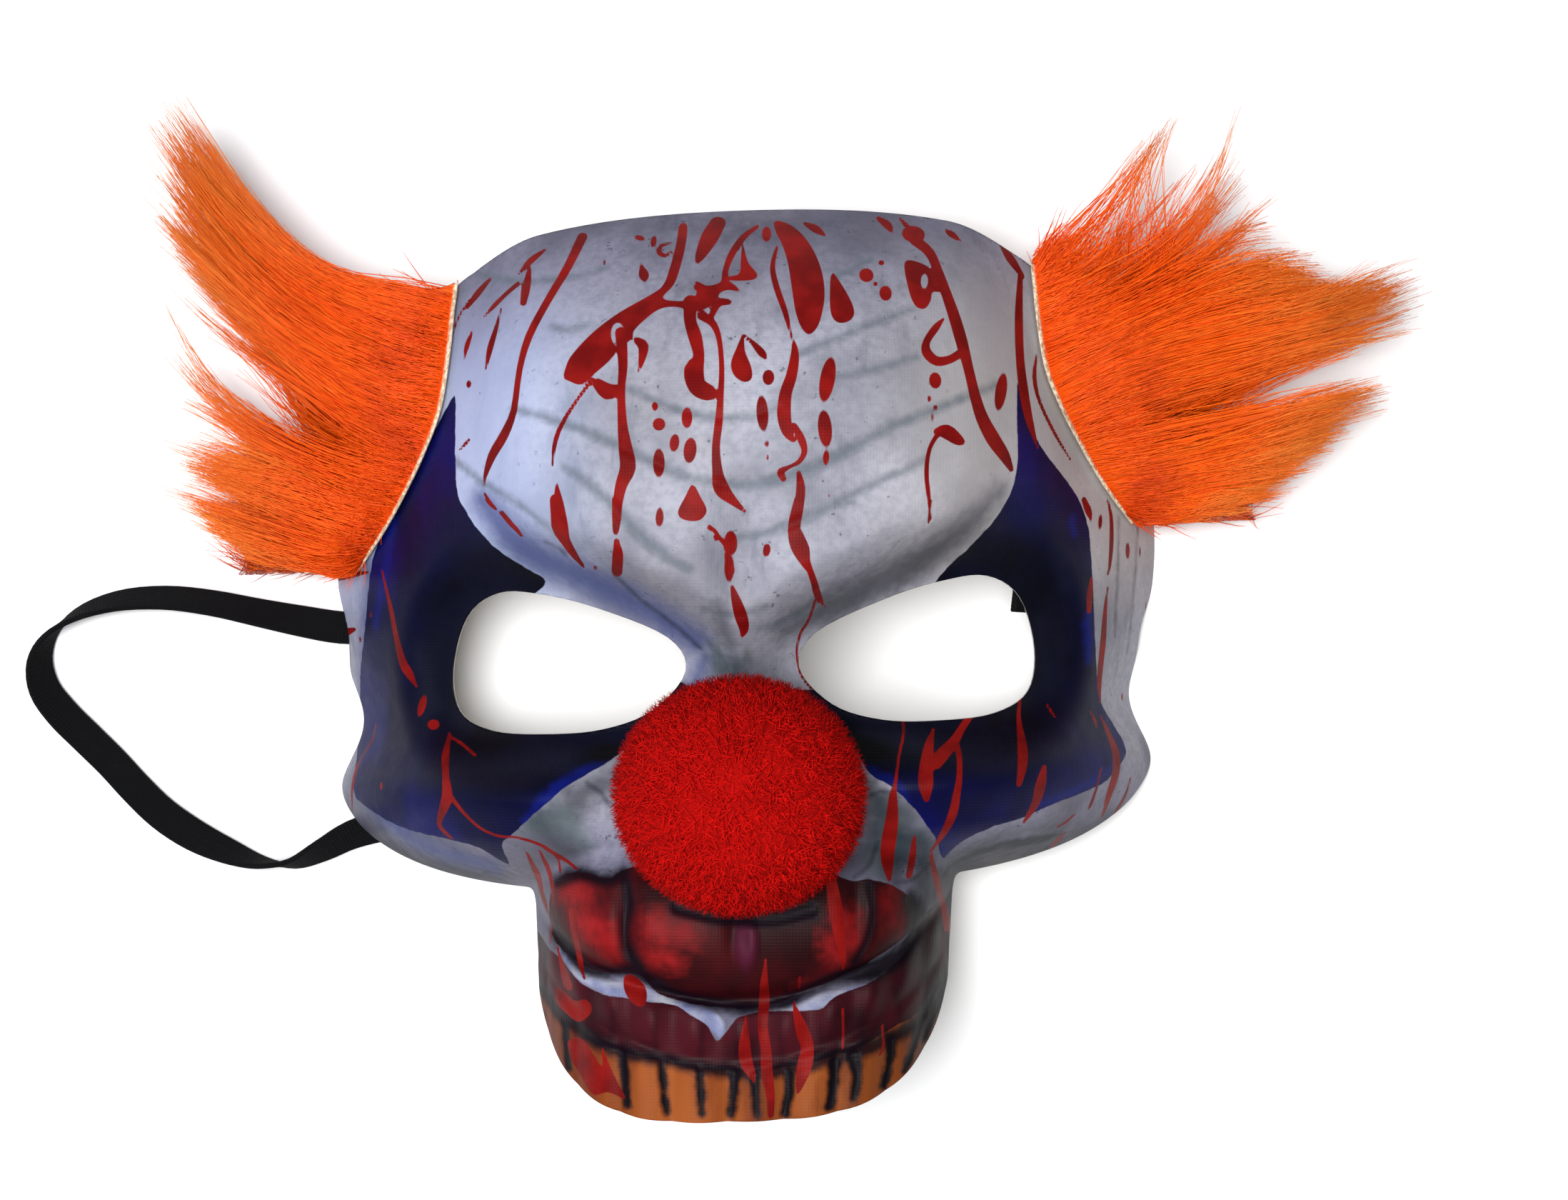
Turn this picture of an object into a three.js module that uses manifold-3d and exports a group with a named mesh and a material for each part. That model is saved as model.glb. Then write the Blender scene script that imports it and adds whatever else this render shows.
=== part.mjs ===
// A carnival clown half mask, lying on its back with the face up.
// It is a formed shell with two eye holes, a pompom nose, two fur tufts at the temples, and an elastic band
// that is stapled inside both temples.
// Units are millimetres. +Z is the way the face looks, +Y the way to the top of the head.
// The face is described over its front view: `across` counts from its middle line, and `up` from its eye
// line.
import * as THREE from 'three';
import { mergeVertices } from 'three/addons/utils/BufferGeometryUtils.js';
import Module from 'manifold-3d';

const wasm = await Module();
wasm.setup();

// Sizes of the shell
const WALL = 2;                  // formed sheet with its printed cloth
const GAP = 0.3;                 // between pieces that touch
const FACE_HALF_WIDTH = 87;      // at the temples, on the rim
const FACE_UP = 87;              // top edge above the eye line
const FACE_DOWN = 87;            // bottom edge below the eye line
const SKULL_DEPTH = 68;          // of the plain skull form above the rim
const LEAN = 0.035;              // rise of the face to its own left, for each millimetre across

// Brow: the forehead panel ends in a bevel that falls to the eye sockets.
const BROW_LOW = 9;
const BROW_LIFT = 26;
const BROW_REACH = 55;           // across, where the brow line levels out
const BROW_RISE = 11;
const BROW_BEVEL = 13;
const BROW_ROUND = 3;
const BROW_MELT = 12;            // round of the panel's corner
const PANEL_HALF_WIDTH = 58.5;
const PANEL_SIDE_LOSS = 0.45;    // share of the rise that the panel's side edge lacks
const TEMPLE_BAND = 18;          // where that share is lost, inside the panel's side edge

// Eye holes and sockets
const EYE_CENTRE = 35;
const EYE_WIDTH = 48;
const EYE_HEIGHT = 28;
const SOCKET_DEPTH = 10;
const SOCKET_RING = 13;

// Cheekbones
const CHEEK_RISE = 6;
const CHEEK_UP = -21;
const CHEEK_SPREAD = 9;
const CHEEK_INNER = 14;
const CHEEK_OUTER = 42;
const FLANK_UP = -33;            // where the cheek turns under
const FLANK_REACH = 12;
const FLANK_DROP = 22;

// Nose and glabella
const NOSE_UP = -23;
const NOSE_RISE = 8;
const NOSE_HALF_WIDTH = 10;
const NOSE_HALF_HEIGHT = 14;
const FROWN_DEPTH = 2.2;
const FROWN_UP = 20;

// Jaw: the muzzle with its lip, gum and teeth
const JAW_DEPTH = 71;
const JAW_SPREAD = 47.5;         // half width of the muzzle's form at the rim's plane
const JAW_FULLNESS = 5;
const JAW_HALF_WIDTH = 43;       // of the trimmed bottom edge
const JAW_CORNER_UP = -45;
const JAW_START = -5;
const JAW_FULL = -42;
const JAW_MELT = 8;
const JAW_SINK = 60;             // how far the muzzle's form lies under the rim above its start
const LIP_TOP = -39;
const LIP_LINE = -64.5;
const LIP_CURVE = 0.0085;        // rise of the lip line for each square millimetre across
const LIP_RISE = 3.4;
const LIP_FOLD = 21.5;           // across, between the lip's middle and its corners
const LIP_FOLD_DEPTH = 1.8;
const LIP_GROOVE = 1.6;
const GUM_LINE = -75.4;
const GUM_CURVE = 0.0095;
const GUM_RISE = 1.8;
const GUM_PITCH = 8.7;
const TOOTH_PITCH = 10.6;
const TOOTH_OFFSET = -2.6;
const TOOTH_RISE = 1.3;
const PHILTRUM_UP = -50;
const PHILTRUM_DEPTH = 1.5;

// Rim: how far the back edge is cut away
const FOOT_TOP = 34;             // the feet lie flat from here down to FOOT_BOTTOM
const RIM_TOP_RISE = 46;
const RIM_TOP_BEND = 1.15;
const FOOT_BOTTOM = -24;
const RIM_JAW_RISE = 34;
const RIM_JAW_REACH = 32;
const RIM_CHIN_RISE = 8;
const ARCH_HEIGHT = 4;           // the band leaves under it
const ARCH_UP = 4;
const ARCH_HALF_WIDTH = 11;

// Pompom
const POMPOM_WIDTH = 46;
const POMPOM_HEIGHT = 43.5;
const POMPOM_SINK = 8;           // how far the nose presses into it
const POMPOM_LOCKS = 44;
const POMPOM_LOCK_LENGTH = 2.4;

// Fur
const PILE = 7;                  // height of the dense fur over the shell
const BACKING = 1.2;             // its woven backing, which shows along the front edge
const PILE_RAMP = 12;            // over which the pile rises behind that edge
const PATCH_REAR = 32;           // reach of the patch behind its front edge, in the front view
const PATCH_SHIFT = 2.1;         // the tuft at +X sits higher by twice this
const PATCH_SEAT = 1.5;          // height of the patch's lower edge over the rim
const LOCK_WIDTH = 17;
const LOCK_THICKNESS = 10;
const FUR_LENGTH = 70;

// Band and staples
const BAND_WIDTH = 7;
const BAND_THICKNESS = 1.2;
const BAND_CLEAR = 0.9;          // under the band where it lies on the table
const BAND_SLACK = 1.7;          // between the band's ends and the shell that they are stapled to
const STAPLE_WIRE = 0.8;
const STAPLE_FROM_END = 6;

// The plain skull, a row for each level. `up` is a share of FACE_UP or FACE_DOWN, `depth` of SKULL_DEPTH,
// `half` of FACE_HALF_WIDTH, and `fullness` the power of the section.
const SKULL_ROWS = [
  { up: -1.15, depth: 0.85, half: 0.93, fullness: 3.0 },
  { up: -0.70, depth: 0.90, half: 0.94, fullness: 3.0 },
  { up: -0.45, depth: 0.95, half: 0.955, fullness: 3.1 },
  { up: -0.30, depth: 0.97, half: 0.975, fullness: 3.2 },
  { up: -0.14, depth: 0.97, half: 0.945, fullness: 3.3 },
  { up: 0.00, depth: 0.97, half: 0.985, fullness: 3.1 },
  { up: 0.20, depth: 0.985, half: 1.01, fullness: 2.9 },
  { up: 0.40, depth: 1.00, half: 1.00, fullness: 2.6 },
  { up: 0.60, depth: 0.96, half: 0.99, fullness: 2.4 },
  { up: 0.80, depth: 0.81, half: 0.99, fullness: 2.35 },
  { up: 1.00, depth: 0.54, half: 1.00, fullness: 2.3 },
  { up: 1.20, depth: 0.15, half: 1.00, fullness: 2.3 },
];

// Outline of an eye hole, as shares of half its width and half its height from its centre.
const EYE_OUTLINE = [
  { across: -1.00, up: -0.18 },
  { across: -0.86, up: 0.30 },
  { across: -0.31, up: 0.72 },
  { across: 0.17, up: 0.95 },
  { across: 0.56, up: 1.00 },
  { across: 0.85, up: 0.68 },
  { across: 0.99, up: -0.07 },
  { across: 0.93, up: -0.68 },
  { across: 0.62, up: -0.95 },
  { across: 0.14, up: -1.00 },
  { across: -0.33, up: -0.95 },
  { across: -0.73, up: -0.71 },
];

// Front edge of the fur patches on the shell, as shares of FACE_HALF_WIDTH and FACE_UP.
const PATCH_EDGE = [
  { up: 0.25, across: 0.93 },
  { up: 0.33, across: 0.856 },
  { up: 0.427, across: 0.785 },
  { up: 0.508, across: 0.733 },
  { up: 0.60, across: 0.69 },
  { up: 0.727, across: 0.67 },
  { up: 0.852, across: 0.663 },
  { up: 0.97, across: 0.655 },
];

// Locks of the tufts. `root` is the level of a lock's root as a share of FACE_UP, and `behind` how far it
// lies behind the patch's front edge, as a share of PATCH_REAR. `bend` and `tip` are the middle and the end
// of the lock, as shares of FUR_LENGTH from its root. `high` is the tip's height as a share of the root's,
// and `wide` a share of LOCK_WIDTH.
const RIGHT_LOCKS = [
  { root: 0.84, behind: 0.10, bend: [0.20, 0.26], tip: [0.38, 0.50], high: 0.75, wide: 0.7 },
  { root: 0.78, behind: 0.16, bend: [0.28, 0.24], tip: [0.54, 0.54], high: 0.70, wide: 0.9 },
  { root: 0.71, behind: 0.22, bend: [0.32, 0.18], tip: [0.62, 0.35], high: 0.70, wide: 1.0 },
  { root: 0.64, behind: 0.26, bend: [0.38, 0.12], tip: [0.77, 0.22], high: 0.70, wide: 1.0 },
  { root: 0.58, behind: 0.26, bend: [0.46, 0.08], tip: [0.96, 0.29], high: 0.75, wide: 1.0 },
  { root: 0.52, behind: 0.24, bend: [0.46, 0.04], tip: [0.95, 0.18], high: 0.80, wide: 1.0 },
  { root: 0.45, behind: 0.24, bend: [0.42, 0.00], tip: [0.84, 0.08], high: 0.85, wide: 1.0 },
  { root: 0.38, behind: 0.20, bend: [0.32, -0.04], tip: [0.64, 0.03], high: 0.90, wide: 0.9 },
  { root: 0.31, behind: 0.16, bend: [0.18, -0.05], tip: [0.37, -0.03], high: 1.00, wide: 0.7 },
];
const LEFT_LOCKS = [
  { root: 0.84, behind: 0.16, bend: [0.30, 0.00], tip: [0.50, 0.18], high: 0.75, wide: 0.7 },
  { root: 0.76, behind: 0.22, bend: [0.44, 0.10], tip: [0.76, 0.72], high: 0.75, wide: 1.0 },
  { root: 0.70, behind: 0.26, bend: [0.48, 0.08], tip: [0.77, 0.50], high: 0.70, wide: 1.0 },
  { root: 0.63, behind: 0.26, bend: [0.42, 0.06], tip: [0.77, 0.30], high: 0.70, wide: 1.0 },
  { root: 0.57, behind: 0.26, bend: [0.36, 0.04], tip: [0.72, 0.17], high: 0.75, wide: 0.9 },
  { root: 0.48, behind: 0.22, bend: [0.32, 0.00], tip: [0.60, 0.06], high: 0.85, wide: 0.8 },
  { root: 0.41, behind: 0.22, bend: [0.32, 0.00], tip: [0.66, 0.12], high: 0.95, wide: 0.9 },
  { root: 0.33, behind: 0.18, bend: [0.28, 0.00], tip: [0.56, 0.06], high: 1.10, wide: 0.9 },
  { root: 0.27, behind: 0.14, bend: [0.18, -0.02], tip: [0.36, 0.00], high: 1.20, wide: 0.7 },
];

// Route of the band. `across` is a share of FACE_HALF_WIDTH, so that the band's ends keep to the temples.
// `roll` turns the band about its own line, in degrees: 0 is flat on the table and 90 on edge.
// Rows with `inside` lie against the inner face of the shell and turn with it. The others lie on the table.
const BAND_ROUTE = [
  { across: -0.736, y: 6, inside: true },
  { across: -0.793, y: 5.6, inside: true },
  { across: -0.851, y: 5.3, inside: true },
  { across: -0.92, y: 5, roll: 4 },
  { across: -1, y: 5, roll: 8 },
  { across: -1.097, y: 6.4, roll: 24 },
  { across: -1.199, y: 8.2, roll: 38 },
  { across: -1.316, y: 10.3, roll: 45 },
  { across: -1.433, y: 11.4, roll: 48 },
  { across: -1.552, y: 10.6, roll: 55 },
  { across: -1.649, y: 7.6, roll: 70 },
  { across: -1.71, y: 3.2, roll: 92 },
  { across: -1.736, y: -2.2, roll: 120 },
  { across: -1.726, y: -8, roll: 142 },
  { across: -1.685, y: -13.4, roll: 160 },
  { across: -1.628, y: -18.6, roll: 172 },
  { across: -1.566, y: -24, roll: 178 },
  { across: -1.506, y: -29.6, roll: 176 },
  { across: -1.439, y: -35, roll: 168 },
  { across: -1.356, y: -39.6, roll: 152 },
  { across: -1.269, y: -43, roll: 126 },
  { across: -1.191, y: -45.2, roll: 98 },
  { across: -1.115, y: -45.4, roll: 74 },
  { across: -1.046, y: -42.8, roll: 52 },
  { across: -0.971, y: -39.4, roll: 30 },
  { across: -0.874, y: -37.2, roll: 12 },
  { across: -0.736, y: -37, roll: 3 },
  { across: -0.552, y: -38.6, roll: 0 },
  { across: -0.345, y: -40.4, roll: 0 },
  { across: -0.115, y: -41.4, roll: 0 },
  { across: 0.138, y: -40.8, roll: 0 },
  { across: 0.379, y: -37.6, roll: 0 },
  { across: 0.586, y: -30.6, roll: 0 },
  { across: 0.724, y: -19.4, roll: -6 },
  { across: 0.795, y: -7, roll: -24 },
  { across: 0.828, y: 3.4, roll: -44, lift: 7 },
  { across: 0.81, y: 9.2, inside: true },
  { across: 0.747, y: 10.8, inside: true },
  { across: 0.684, y: 11.6, inside: true },
  { across: 0.626, y: 12, inside: true },
];

const COLOURS = {
  shell: { color: 0xb9bccb, roughness: 0.5 },
  pompom: { color: 0xc4120d, roughness: 0.95 },
  fur: { color: 0xee5a10, roughness: 0.8 },
  band: { color: 0x0b0b0d, roughness: 0.85 },
  staple: { color: 0xa9acb0, roughness: 0.35, metalness: 0.9 },
};

const clamp = (value, low, high) => Math.min(high, Math.max(low, value));
const bell = (value) => Math.exp(-value * value);

function smoothstep(start, end, value) {
  const t = clamp((value - start) / (end - start), 0, 1);
  return t * t * (3 - 2 * t);
}

// The larger of two values, with a rounded change-over.
function smoothMax(a, b, melt) {
  const t = clamp(0.5 + 0.5 * (a - b) / melt, 0, 1);
  return b + (a - b) * t + melt * t * (1 - t);
}

const smoothMin = (a, b, melt) => -smoothMax(-a, -b, melt);
const level = (share) => share * (share > 0 ? FACE_UP : FACE_DOWN);

// A smooth curve through the rows of a table: the column's value at a level.
function column(rows, name, up) {
  const at = rows.map((row) => level(row.up));
  const last = rows.length - 1;
  const place = clamp(up, at[0], at[last]);
  const i = clamp(at.findIndex((value) => value > place) - 1, 0, last - 1);
  const k = place >= at[last] ? last - 1 : i;
  const slope = (a, b) => (rows[b][name] - rows[a][name]) / (at[b] - at[a]);
  const span = at[k + 1] - at[k];
  const t = (place - at[k]) / span;
  const startSlope = slope(Math.max(k - 1, 0), k + 1) * span;
  const endSlope = slope(k, Math.min(k + 2, last)) * span;
  const [start, end] = [rows[k][name], rows[k + 1][name]];
  const cube = 2 * (start - end) + startSlope + endSlope;
  const square = 3 * (end - start) - 2 * startSlope - endSlope;
  return ((cube * t + square) * t + startSlope) * t + start;
}

function smoothLoop(points, count) {
  const places = points.map(([x, y]) => new THREE.Vector3(x, y, 0));
  const curve = new THREE.CatmullRomCurve3(places, true, 'catmullrom', 0.5);
  return curve.getPoints(count).slice(0, -1).map((p) => [p.x, p.y]);
}

const eyeLoop = smoothLoop(EYE_OUTLINE.map((p) => [
  EYE_CENTRE + p.across * EYE_WIDTH / 2,
  p.up * EYE_HEIGHT / 2,
]), 60);

// Distance from a point of the front view to the eye hole, and 0 inside it.
function eyeDistance(across, up) {
  let nearest = Infinity;
  let inside = false;
  eyeLoop.forEach(([ax, ay], i) => {
    const [bx, by] = eyeLoop[(i + 1) % eyeLoop.length];
    const [dx, dy] = [bx - ax, by - ay];
    const t = clamp(((across - ax) * dx + (up - ay) * dy) / (dx * dx + dy * dy), 0, 1);
    nearest = Math.min(nearest, Math.hypot(across - ax - t * dx, up - ay - t * dy));
    if ((ay > up) !== (by > up) && across < ax + (up - ay) / dy * dx) inside = !inside;
  });
  return inside ? 0 : nearest;
}

// The forehead panel: how far a point lies inside its lower and side edges.
function insidePanel(across, up) {
  const browLine = BROW_LOW + BROW_LIFT * smoothstep(0, BROW_REACH, across);
  return smoothMin(0.85 * (up - browLine), PANEL_HALF_WIDTH - across, BROW_MELT);
}

function browForm(across, up) {
  const edge = smoothstep(PANEL_HALF_WIDTH - TEMPLE_BAND, PANEL_HALF_WIDTH, across);
  const rise = BROW_RISE * (1 - PANEL_SIDE_LOSS * edge);
  const frown = FROWN_DEPTH * bell(across / 5) * bell((up - FROWN_UP) / 13);
  return rise * smoothstep(-BROW_BEVEL, BROW_ROUND, insidePanel(across, up)) - frown;
}

function cheekForm(across, up) {
  const ridge = CHEEK_RISE * bell((up - CHEEK_UP + 0.07 * across) / CHEEK_SPREAD);
  const turned = Math.max(0, FLANK_UP - up) / FLANK_REACH;
  return ridge * smoothstep(CHEEK_INNER, CHEEK_OUTER, across) - FLANK_DROP * turned * turned;
}

function noseForm(across, up) {
  return NOSE_RISE * bell(across / NOSE_HALF_WIDTH) * bell((up - NOSE_UP) / NOSE_HALF_HEIGHT);
}

// Relief of the mouth: lip, groove, gum lobes and teeth, one under the other.
function mouthForm(x, up) {
  const across = Math.abs(x);
  const lipLine = LIP_LINE + LIP_CURVE * across * across;
  const gumLine = GUM_LINE + GUM_CURVE * across * across;
  const around = JAW_SPREAD * Math.asin(clamp(x / JAW_SPREAD, -1, 1));
  const inLip = clamp((up - lipLine) / (LIP_TOP - lipLine), 0, 1);
  const inGum = clamp((up - gumLine) / (lipLine - gumLine), 0, 1);
  const lip = LIP_RISE * Math.sin(Math.PI * inLip);
  const fold = LIP_FOLD_DEPTH * bell((across - LIP_FOLD) / 2.2) * Math.sin(Math.PI * inLip);
  const philtrum = PHILTRUM_DEPTH * bell(across / 2.4) * bell((up - PHILTRUM_UP) / 7);
  const lobes = 0.6 + 0.4 * Math.cos(2 * Math.PI * around / GUM_PITCH);
  const gum = GUM_RISE * lobes * Math.sin(Math.PI * inGum);
  const crown = Math.abs(Math.sin(Math.PI * (around - TOOTH_OFFSET) / TOOTH_PITCH));
  const teeth = TOOTH_RISE * crown * smoothstep(gumLine, gumLine - 2.5, up);
  const groove = LIP_GROOVE * bell((up - lipLine) / 1.8);
  return lip - fold - philtrum + gum + teeth - groove;
}

function jawForm(x, up) {
  const side = Math.pow(Math.abs(x) / JAW_SPREAD, JAW_FULLNESS);
  const front = (JAW_DEPTH + JAW_SINK) * smoothstep(JAW_START, JAW_FULL, up) - JAW_SINK - JAW_DEPTH * side;
  return front + mouthForm(x, up) * (1 - smoothstep(JAW_HALF_WIDTH - 6, JAW_HALF_WIDTH + 2, Math.abs(x)));
}

// Height of the shell's outer face over the table, for a point of the front view.
function faceHeight(x, y) {
  const across = Math.abs(x);
  const up = y - LEAN * x;
  const depth = SKULL_DEPTH * column(SKULL_ROWS, 'depth', up);
  const half = FACE_HALF_WIDTH * column(SKULL_ROWS, 'half', up);
  const skull = depth * (1 - Math.pow(across / half, column(SKULL_ROWS, 'fullness', up)));
  const socket = SOCKET_DEPTH * (1 - smoothstep(0, SOCKET_RING, eyeDistance(across, up)));
  const upper = skull + browForm(across, up) + cheekForm(across, up) + noseForm(across, up) - socket;
  return smoothMax(upper, jawForm(x, up), JAW_MELT);
}

// Height of a face parallel to the shell's outer face, a distance in front of it.
function parallelHeight(x, y, distance) {
  const step = 0.5;
  const alongX = (faceHeight(x + step, y) - faceHeight(x - step, y)) / (2 * step);
  const alongY = (faceHeight(x, y + step) - faceHeight(x, y - step)) / (2 * step);
  return faceHeight(x, y) + distance * Math.sqrt(1 + alongX * alongX + alongY * alongY);
}

// Height of the rim over the table. It is 0 along the feet.
function rimHeight(x, y) {
  const up = y - LEAN * x;
  const top = Math.pow(clamp((up - FOOT_TOP) / (FACE_UP - FOOT_TOP), 0, 2), RIM_TOP_BEND);
  const jawStart = FOOT_BOTTOM - RIM_JAW_REACH;
  const jaw = smoothstep(FOOT_BOTTOM, jawStart, up);
  const chin = clamp((jawStart - up) / (jawStart + FACE_DOWN), 0, 2);
  const fromArch = clamp((y - ARCH_UP) / ARCH_HALF_WIDTH, -1, 1);
  const arch = ARCH_HEIGHT * (0.5 + 0.5 * Math.cos(Math.PI * fromArch));
  return RIM_TOP_RISE * top + RIM_JAW_RISE * jaw + RIM_CHIN_RISE * chin + arch;
}

function manifoldOf(geometry) {
  const bare = geometry.clone();
  bare.deleteAttribute('normal');
  bare.deleteAttribute('uv');
  const merged = mergeVertices(bare, 1e-4);
  return new wasm.Manifold(new wasm.Mesh({
    numProp: 3,
    vertProperties: merged.attributes.position.array,
    triVerts: new Uint32Array(merged.index.array),
  }));
}

function geometryOf(manifold) {
  const { vertProperties, triVerts } = manifold.getMesh();
  const geometry = new THREE.BufferGeometry();
  geometry.setAttribute('position', new THREE.BufferAttribute(new Float32Array(vertProperties), 3));
  geometry.setIndex(new THREE.BufferAttribute(new Uint32Array(triVerts), 1));
  geometry.computeVertexNormals();
  return geometry;
}

function geometryFrom(points, triangles) {
  const geometry = new THREE.BufferGeometry();
  geometry.setAttribute('position', new THREE.Float32BufferAttribute(points.flat(), 3));
  geometry.setIndex(triangles.flat());
  return geometry;
}

// Lines of a grid: steps of `fine` out to `edge`, then steps of `coarse` out to `end`.
function gridLines(edge, end, fine, coarse) {
  const inner = Math.round(edge / fine);
  const outer = Math.round((end - edge) / coarse);
  const lines = Array.from({ length: inner + 1 }, (_, i) => i * edge / inner);
  for (let i = 1; i <= outer; i += 1) lines.push(edge + (i * (end - edge)) / outer);
  return lines;
}

const SIDE_MARGIN = 8;
const acrossEnd = FACE_HALF_WIDTH + SIDE_MARGIN;
const halfLines = gridLines(JAW_HALF_WIDTH + 3, acrossEnd, 3.3, 5.3);
const FINE_X = [...halfLines.slice(1).map((v) => -v).reverse(), ...halfLines];
const jawLines = gridLines(-JAW_CORNER_UP - 12, FACE_DOWN + SIDE_MARGIN, 5.0, 3.3).map((v) => -v).reverse();
const upperLines = gridLines(FACE_UP, FACE_UP + SIDE_MARGIN, 5.1, 5.1).slice(1);
const FINE_Y = [...jawLines, ...upperLines];
const widened = (lines) => [lines[0] - SIDE_MARGIN, ...lines, lines.at(-1) + SIDE_MARGIN];
const furEnd = acrossEnd + 12;
const furLines = gridLines(FACE_HALF_WIDTH / 2, furEnd, 22, 5);
const FUR_X = [...furLines.slice(1).map((v) => -v).reverse(), ...furLines];
const FUR_Y = gridLines(FACE_UP + SIDE_MARGIN, FACE_UP + SIDE_MARGIN, 6, 1);

// The block between a floor and a height over the front view.
function blockUnder(height, xs, ys, floor) {
  const points = [];
  for (const y of ys) for (const x of xs) points.push([x, y, Math.max(height(x, y), floor + 1)]);
  for (const y of ys) for (const x of xs) points.push([x, y, floor]);
  const [nx, ny] = [xs.length, ys.length];
  const below = nx * ny;
  const triangles = [];
  for (let j = 0; j < ny - 1; j += 1) {
    for (let i = 0; i < nx - 1; i += 1) {
      const [a, b, c, d] = [j * nx + i, j * nx + i + 1, (j + 1) * nx + i + 1, (j + 1) * nx + i];
      const falling = xs[i] + xs[i + 1] < 0;
      triangles.push(...(falling ? [[a, b, d], [b, c, d]] : [[a, b, c], [a, c, d]]));
      triangles.push([below + a, below + c, below + b], [below + a, below + d, below + c]);
    }
  }
  const ring = [];
  for (let i = 0; i < nx; i += 1) ring.push(i);
  for (let j = 1; j < ny; j += 1) ring.push(j * nx + nx - 1);
  for (let i = nx - 2; i >= 0; i -= 1) ring.push((ny - 1) * nx + i);
  for (let j = ny - 2; j > 0; j -= 1) ring.push(j * nx);
  ring.forEach((p, k) => {
    const q = ring[(k + 1) % ring.length];
    triangles.push([below + p, below + q, q], [below + p, q, p]);
  });
  return manifoldOf(geometryFrom(points, triangles));
}

// A prism over a loop of front-view points.
function prism(loop, low, high) {
  const shape = new THREE.Shape(loop.map(([x, y]) => new THREE.Vector2(x, y)));
  const geometry = new THREE.ExtrudeGeometry(shape, { depth: high - low, bevelEnabled: false });
  return manifoldOf(geometry.translate(0, 0, low));
}

const leaned = ([x, up]) => [x, up + LEAN * x];
const BELOW = -30;
const ABOVE = SKULL_DEPTH + JAW_DEPTH;

function eyePrism(side) {
  const loop = eyeLoop.map(([x, up]) => leaned([side * x, up]));
  return prism(loop, BELOW, ABOVE);
}

// What the trimmed bottom edge of the jaw leaves off.
function jawOffcut() {
  const drop = FACE_DOWN + JAW_CORNER_UP;
  const start = 5;
  const steps = 40;
  const edge = [];
  for (let i = 0; i <= steps; i += 1) {
    const angle = Math.PI * i / steps;
    const [c, s] = [Math.cos(angle), Math.sin(angle)];
    const x = JAW_HALF_WIDTH * Math.sign(c) * Math.pow(Math.abs(c), 2 / 3);
    const fall = drop * Math.pow(s, 2 / 3);
    if (fall > start) edge.push(leaned([x, JAW_CORNER_UP - fall]));
  }
  const far = acrossEnd + SIDE_MARGIN;
  const bottom = -FACE_DOWN - 3 * SIDE_MARGIN;
  const shoulder = JAW_CORNER_UP - start;
  return prism([leaned([far, shoulder]), ...edge, leaned([-far, shoulder]), [-far, bottom], [far, bottom]]
    .reverse(), BELOW - 5, ABOVE);
}

function shellSolid() {
  const outside = blockUnder(faceHeight, FINE_X, FINE_Y, BELOW);
  const [wideX, wideY] = [widened(FINE_X), widened(FINE_Y)];
  const hollow = blockUnder((x, y) => parallelHeight(x, y, -WALL), wideX, wideY, BELOW - 2);
  const back = blockUnder(rimHeight, wideX, wideY, BELOW - 4);
  return outside.subtract(hollow).subtract(back).subtract(jawOffcut())
    .subtract(eyePrism(1)).subtract(eyePrism(-1));
}

// The pompom: short locks all round a ball, pressed on the nose.
function pompomSolid() {
  const radius = POMPOM_WIDTH / 2;
  const high = faceHeight(0, NOSE_UP) + POMPOM_HEIGHT / 2 - POMPOM_SINK;
  const golden = Math.PI * (3 - Math.sqrt(5));
  const locks = Array.from({ length: POMPOM_LOCKS }, (_, i) => {
    const z = 1 - 2 * (i + 0.5) / POMPOM_LOCKS;
    const ring = Math.sqrt(1 - z * z);
    return new THREE.Vector3(ring * Math.cos(golden * i), ring * Math.sin(golden * i), z);
  });
  const reach = 1.9 / Math.sqrt(POMPOM_LOCKS);
  const ball = new THREE.IcosahedronGeometry(1, 5);
  const flat = POMPOM_HEIGHT / POMPOM_WIDTH;
  const place = ball.attributes.position;
  const point = new THREE.Vector3();
  for (let i = 0; i < place.count; i += 1) {
    point.fromBufferAttribute(place, i).normalize();
    const nearest = Math.min(...locks.map((lock) => lock.distanceTo(point)));
    point.multiplyScalar(radius - POMPOM_LOCK_LENGTH * smoothstep(0, reach, nearest));
    place.setXYZ(i, point.x, point.y * flat + NOSE_UP, point.z * flat + high);
  }
  return manifoldOf(ball).subtract(clearOfShell());
}

// Everything under the shell's outer face, with the gap that its neighbours keep.
function clearOfShell() {
  return blockUnder((x, y) => parallelHeight(x, y, GAP), FINE_X, FINE_Y, BELOW - 2);
}

const patchFront = (up) => FACE_HALF_WIDTH * column(PATCH_EDGE, 'across', up);

// Height of the dense fur over the shell. It rises from the backing's thickness at the front edge.
function pileHeight(x, y) {
  const up = y - LEAN * x - Math.sign(x) * PATCH_SHIFT;
  const behind = Math.abs(x) - patchFront(up);
  return GAP + BACKING + (PILE - BACKING) * smoothstep(0, PILE_RAMP, behind);
}

function patchLoop(side) {
  const levels = PATCH_EDGE.map((row) => level(row.up));
  const point = (up, behind) => leaned([side * (patchFront(up) + behind), up + side * PATCH_SHIFT]);
  const front = levels.map((up) => point(up, 0));
  const rear = [...levels].reverse().map((up) => point(up, PATCH_REAR));
  const loop = [...front, ...rear];
  return side > 0 ? loop.reverse() : loop;
}

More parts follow.
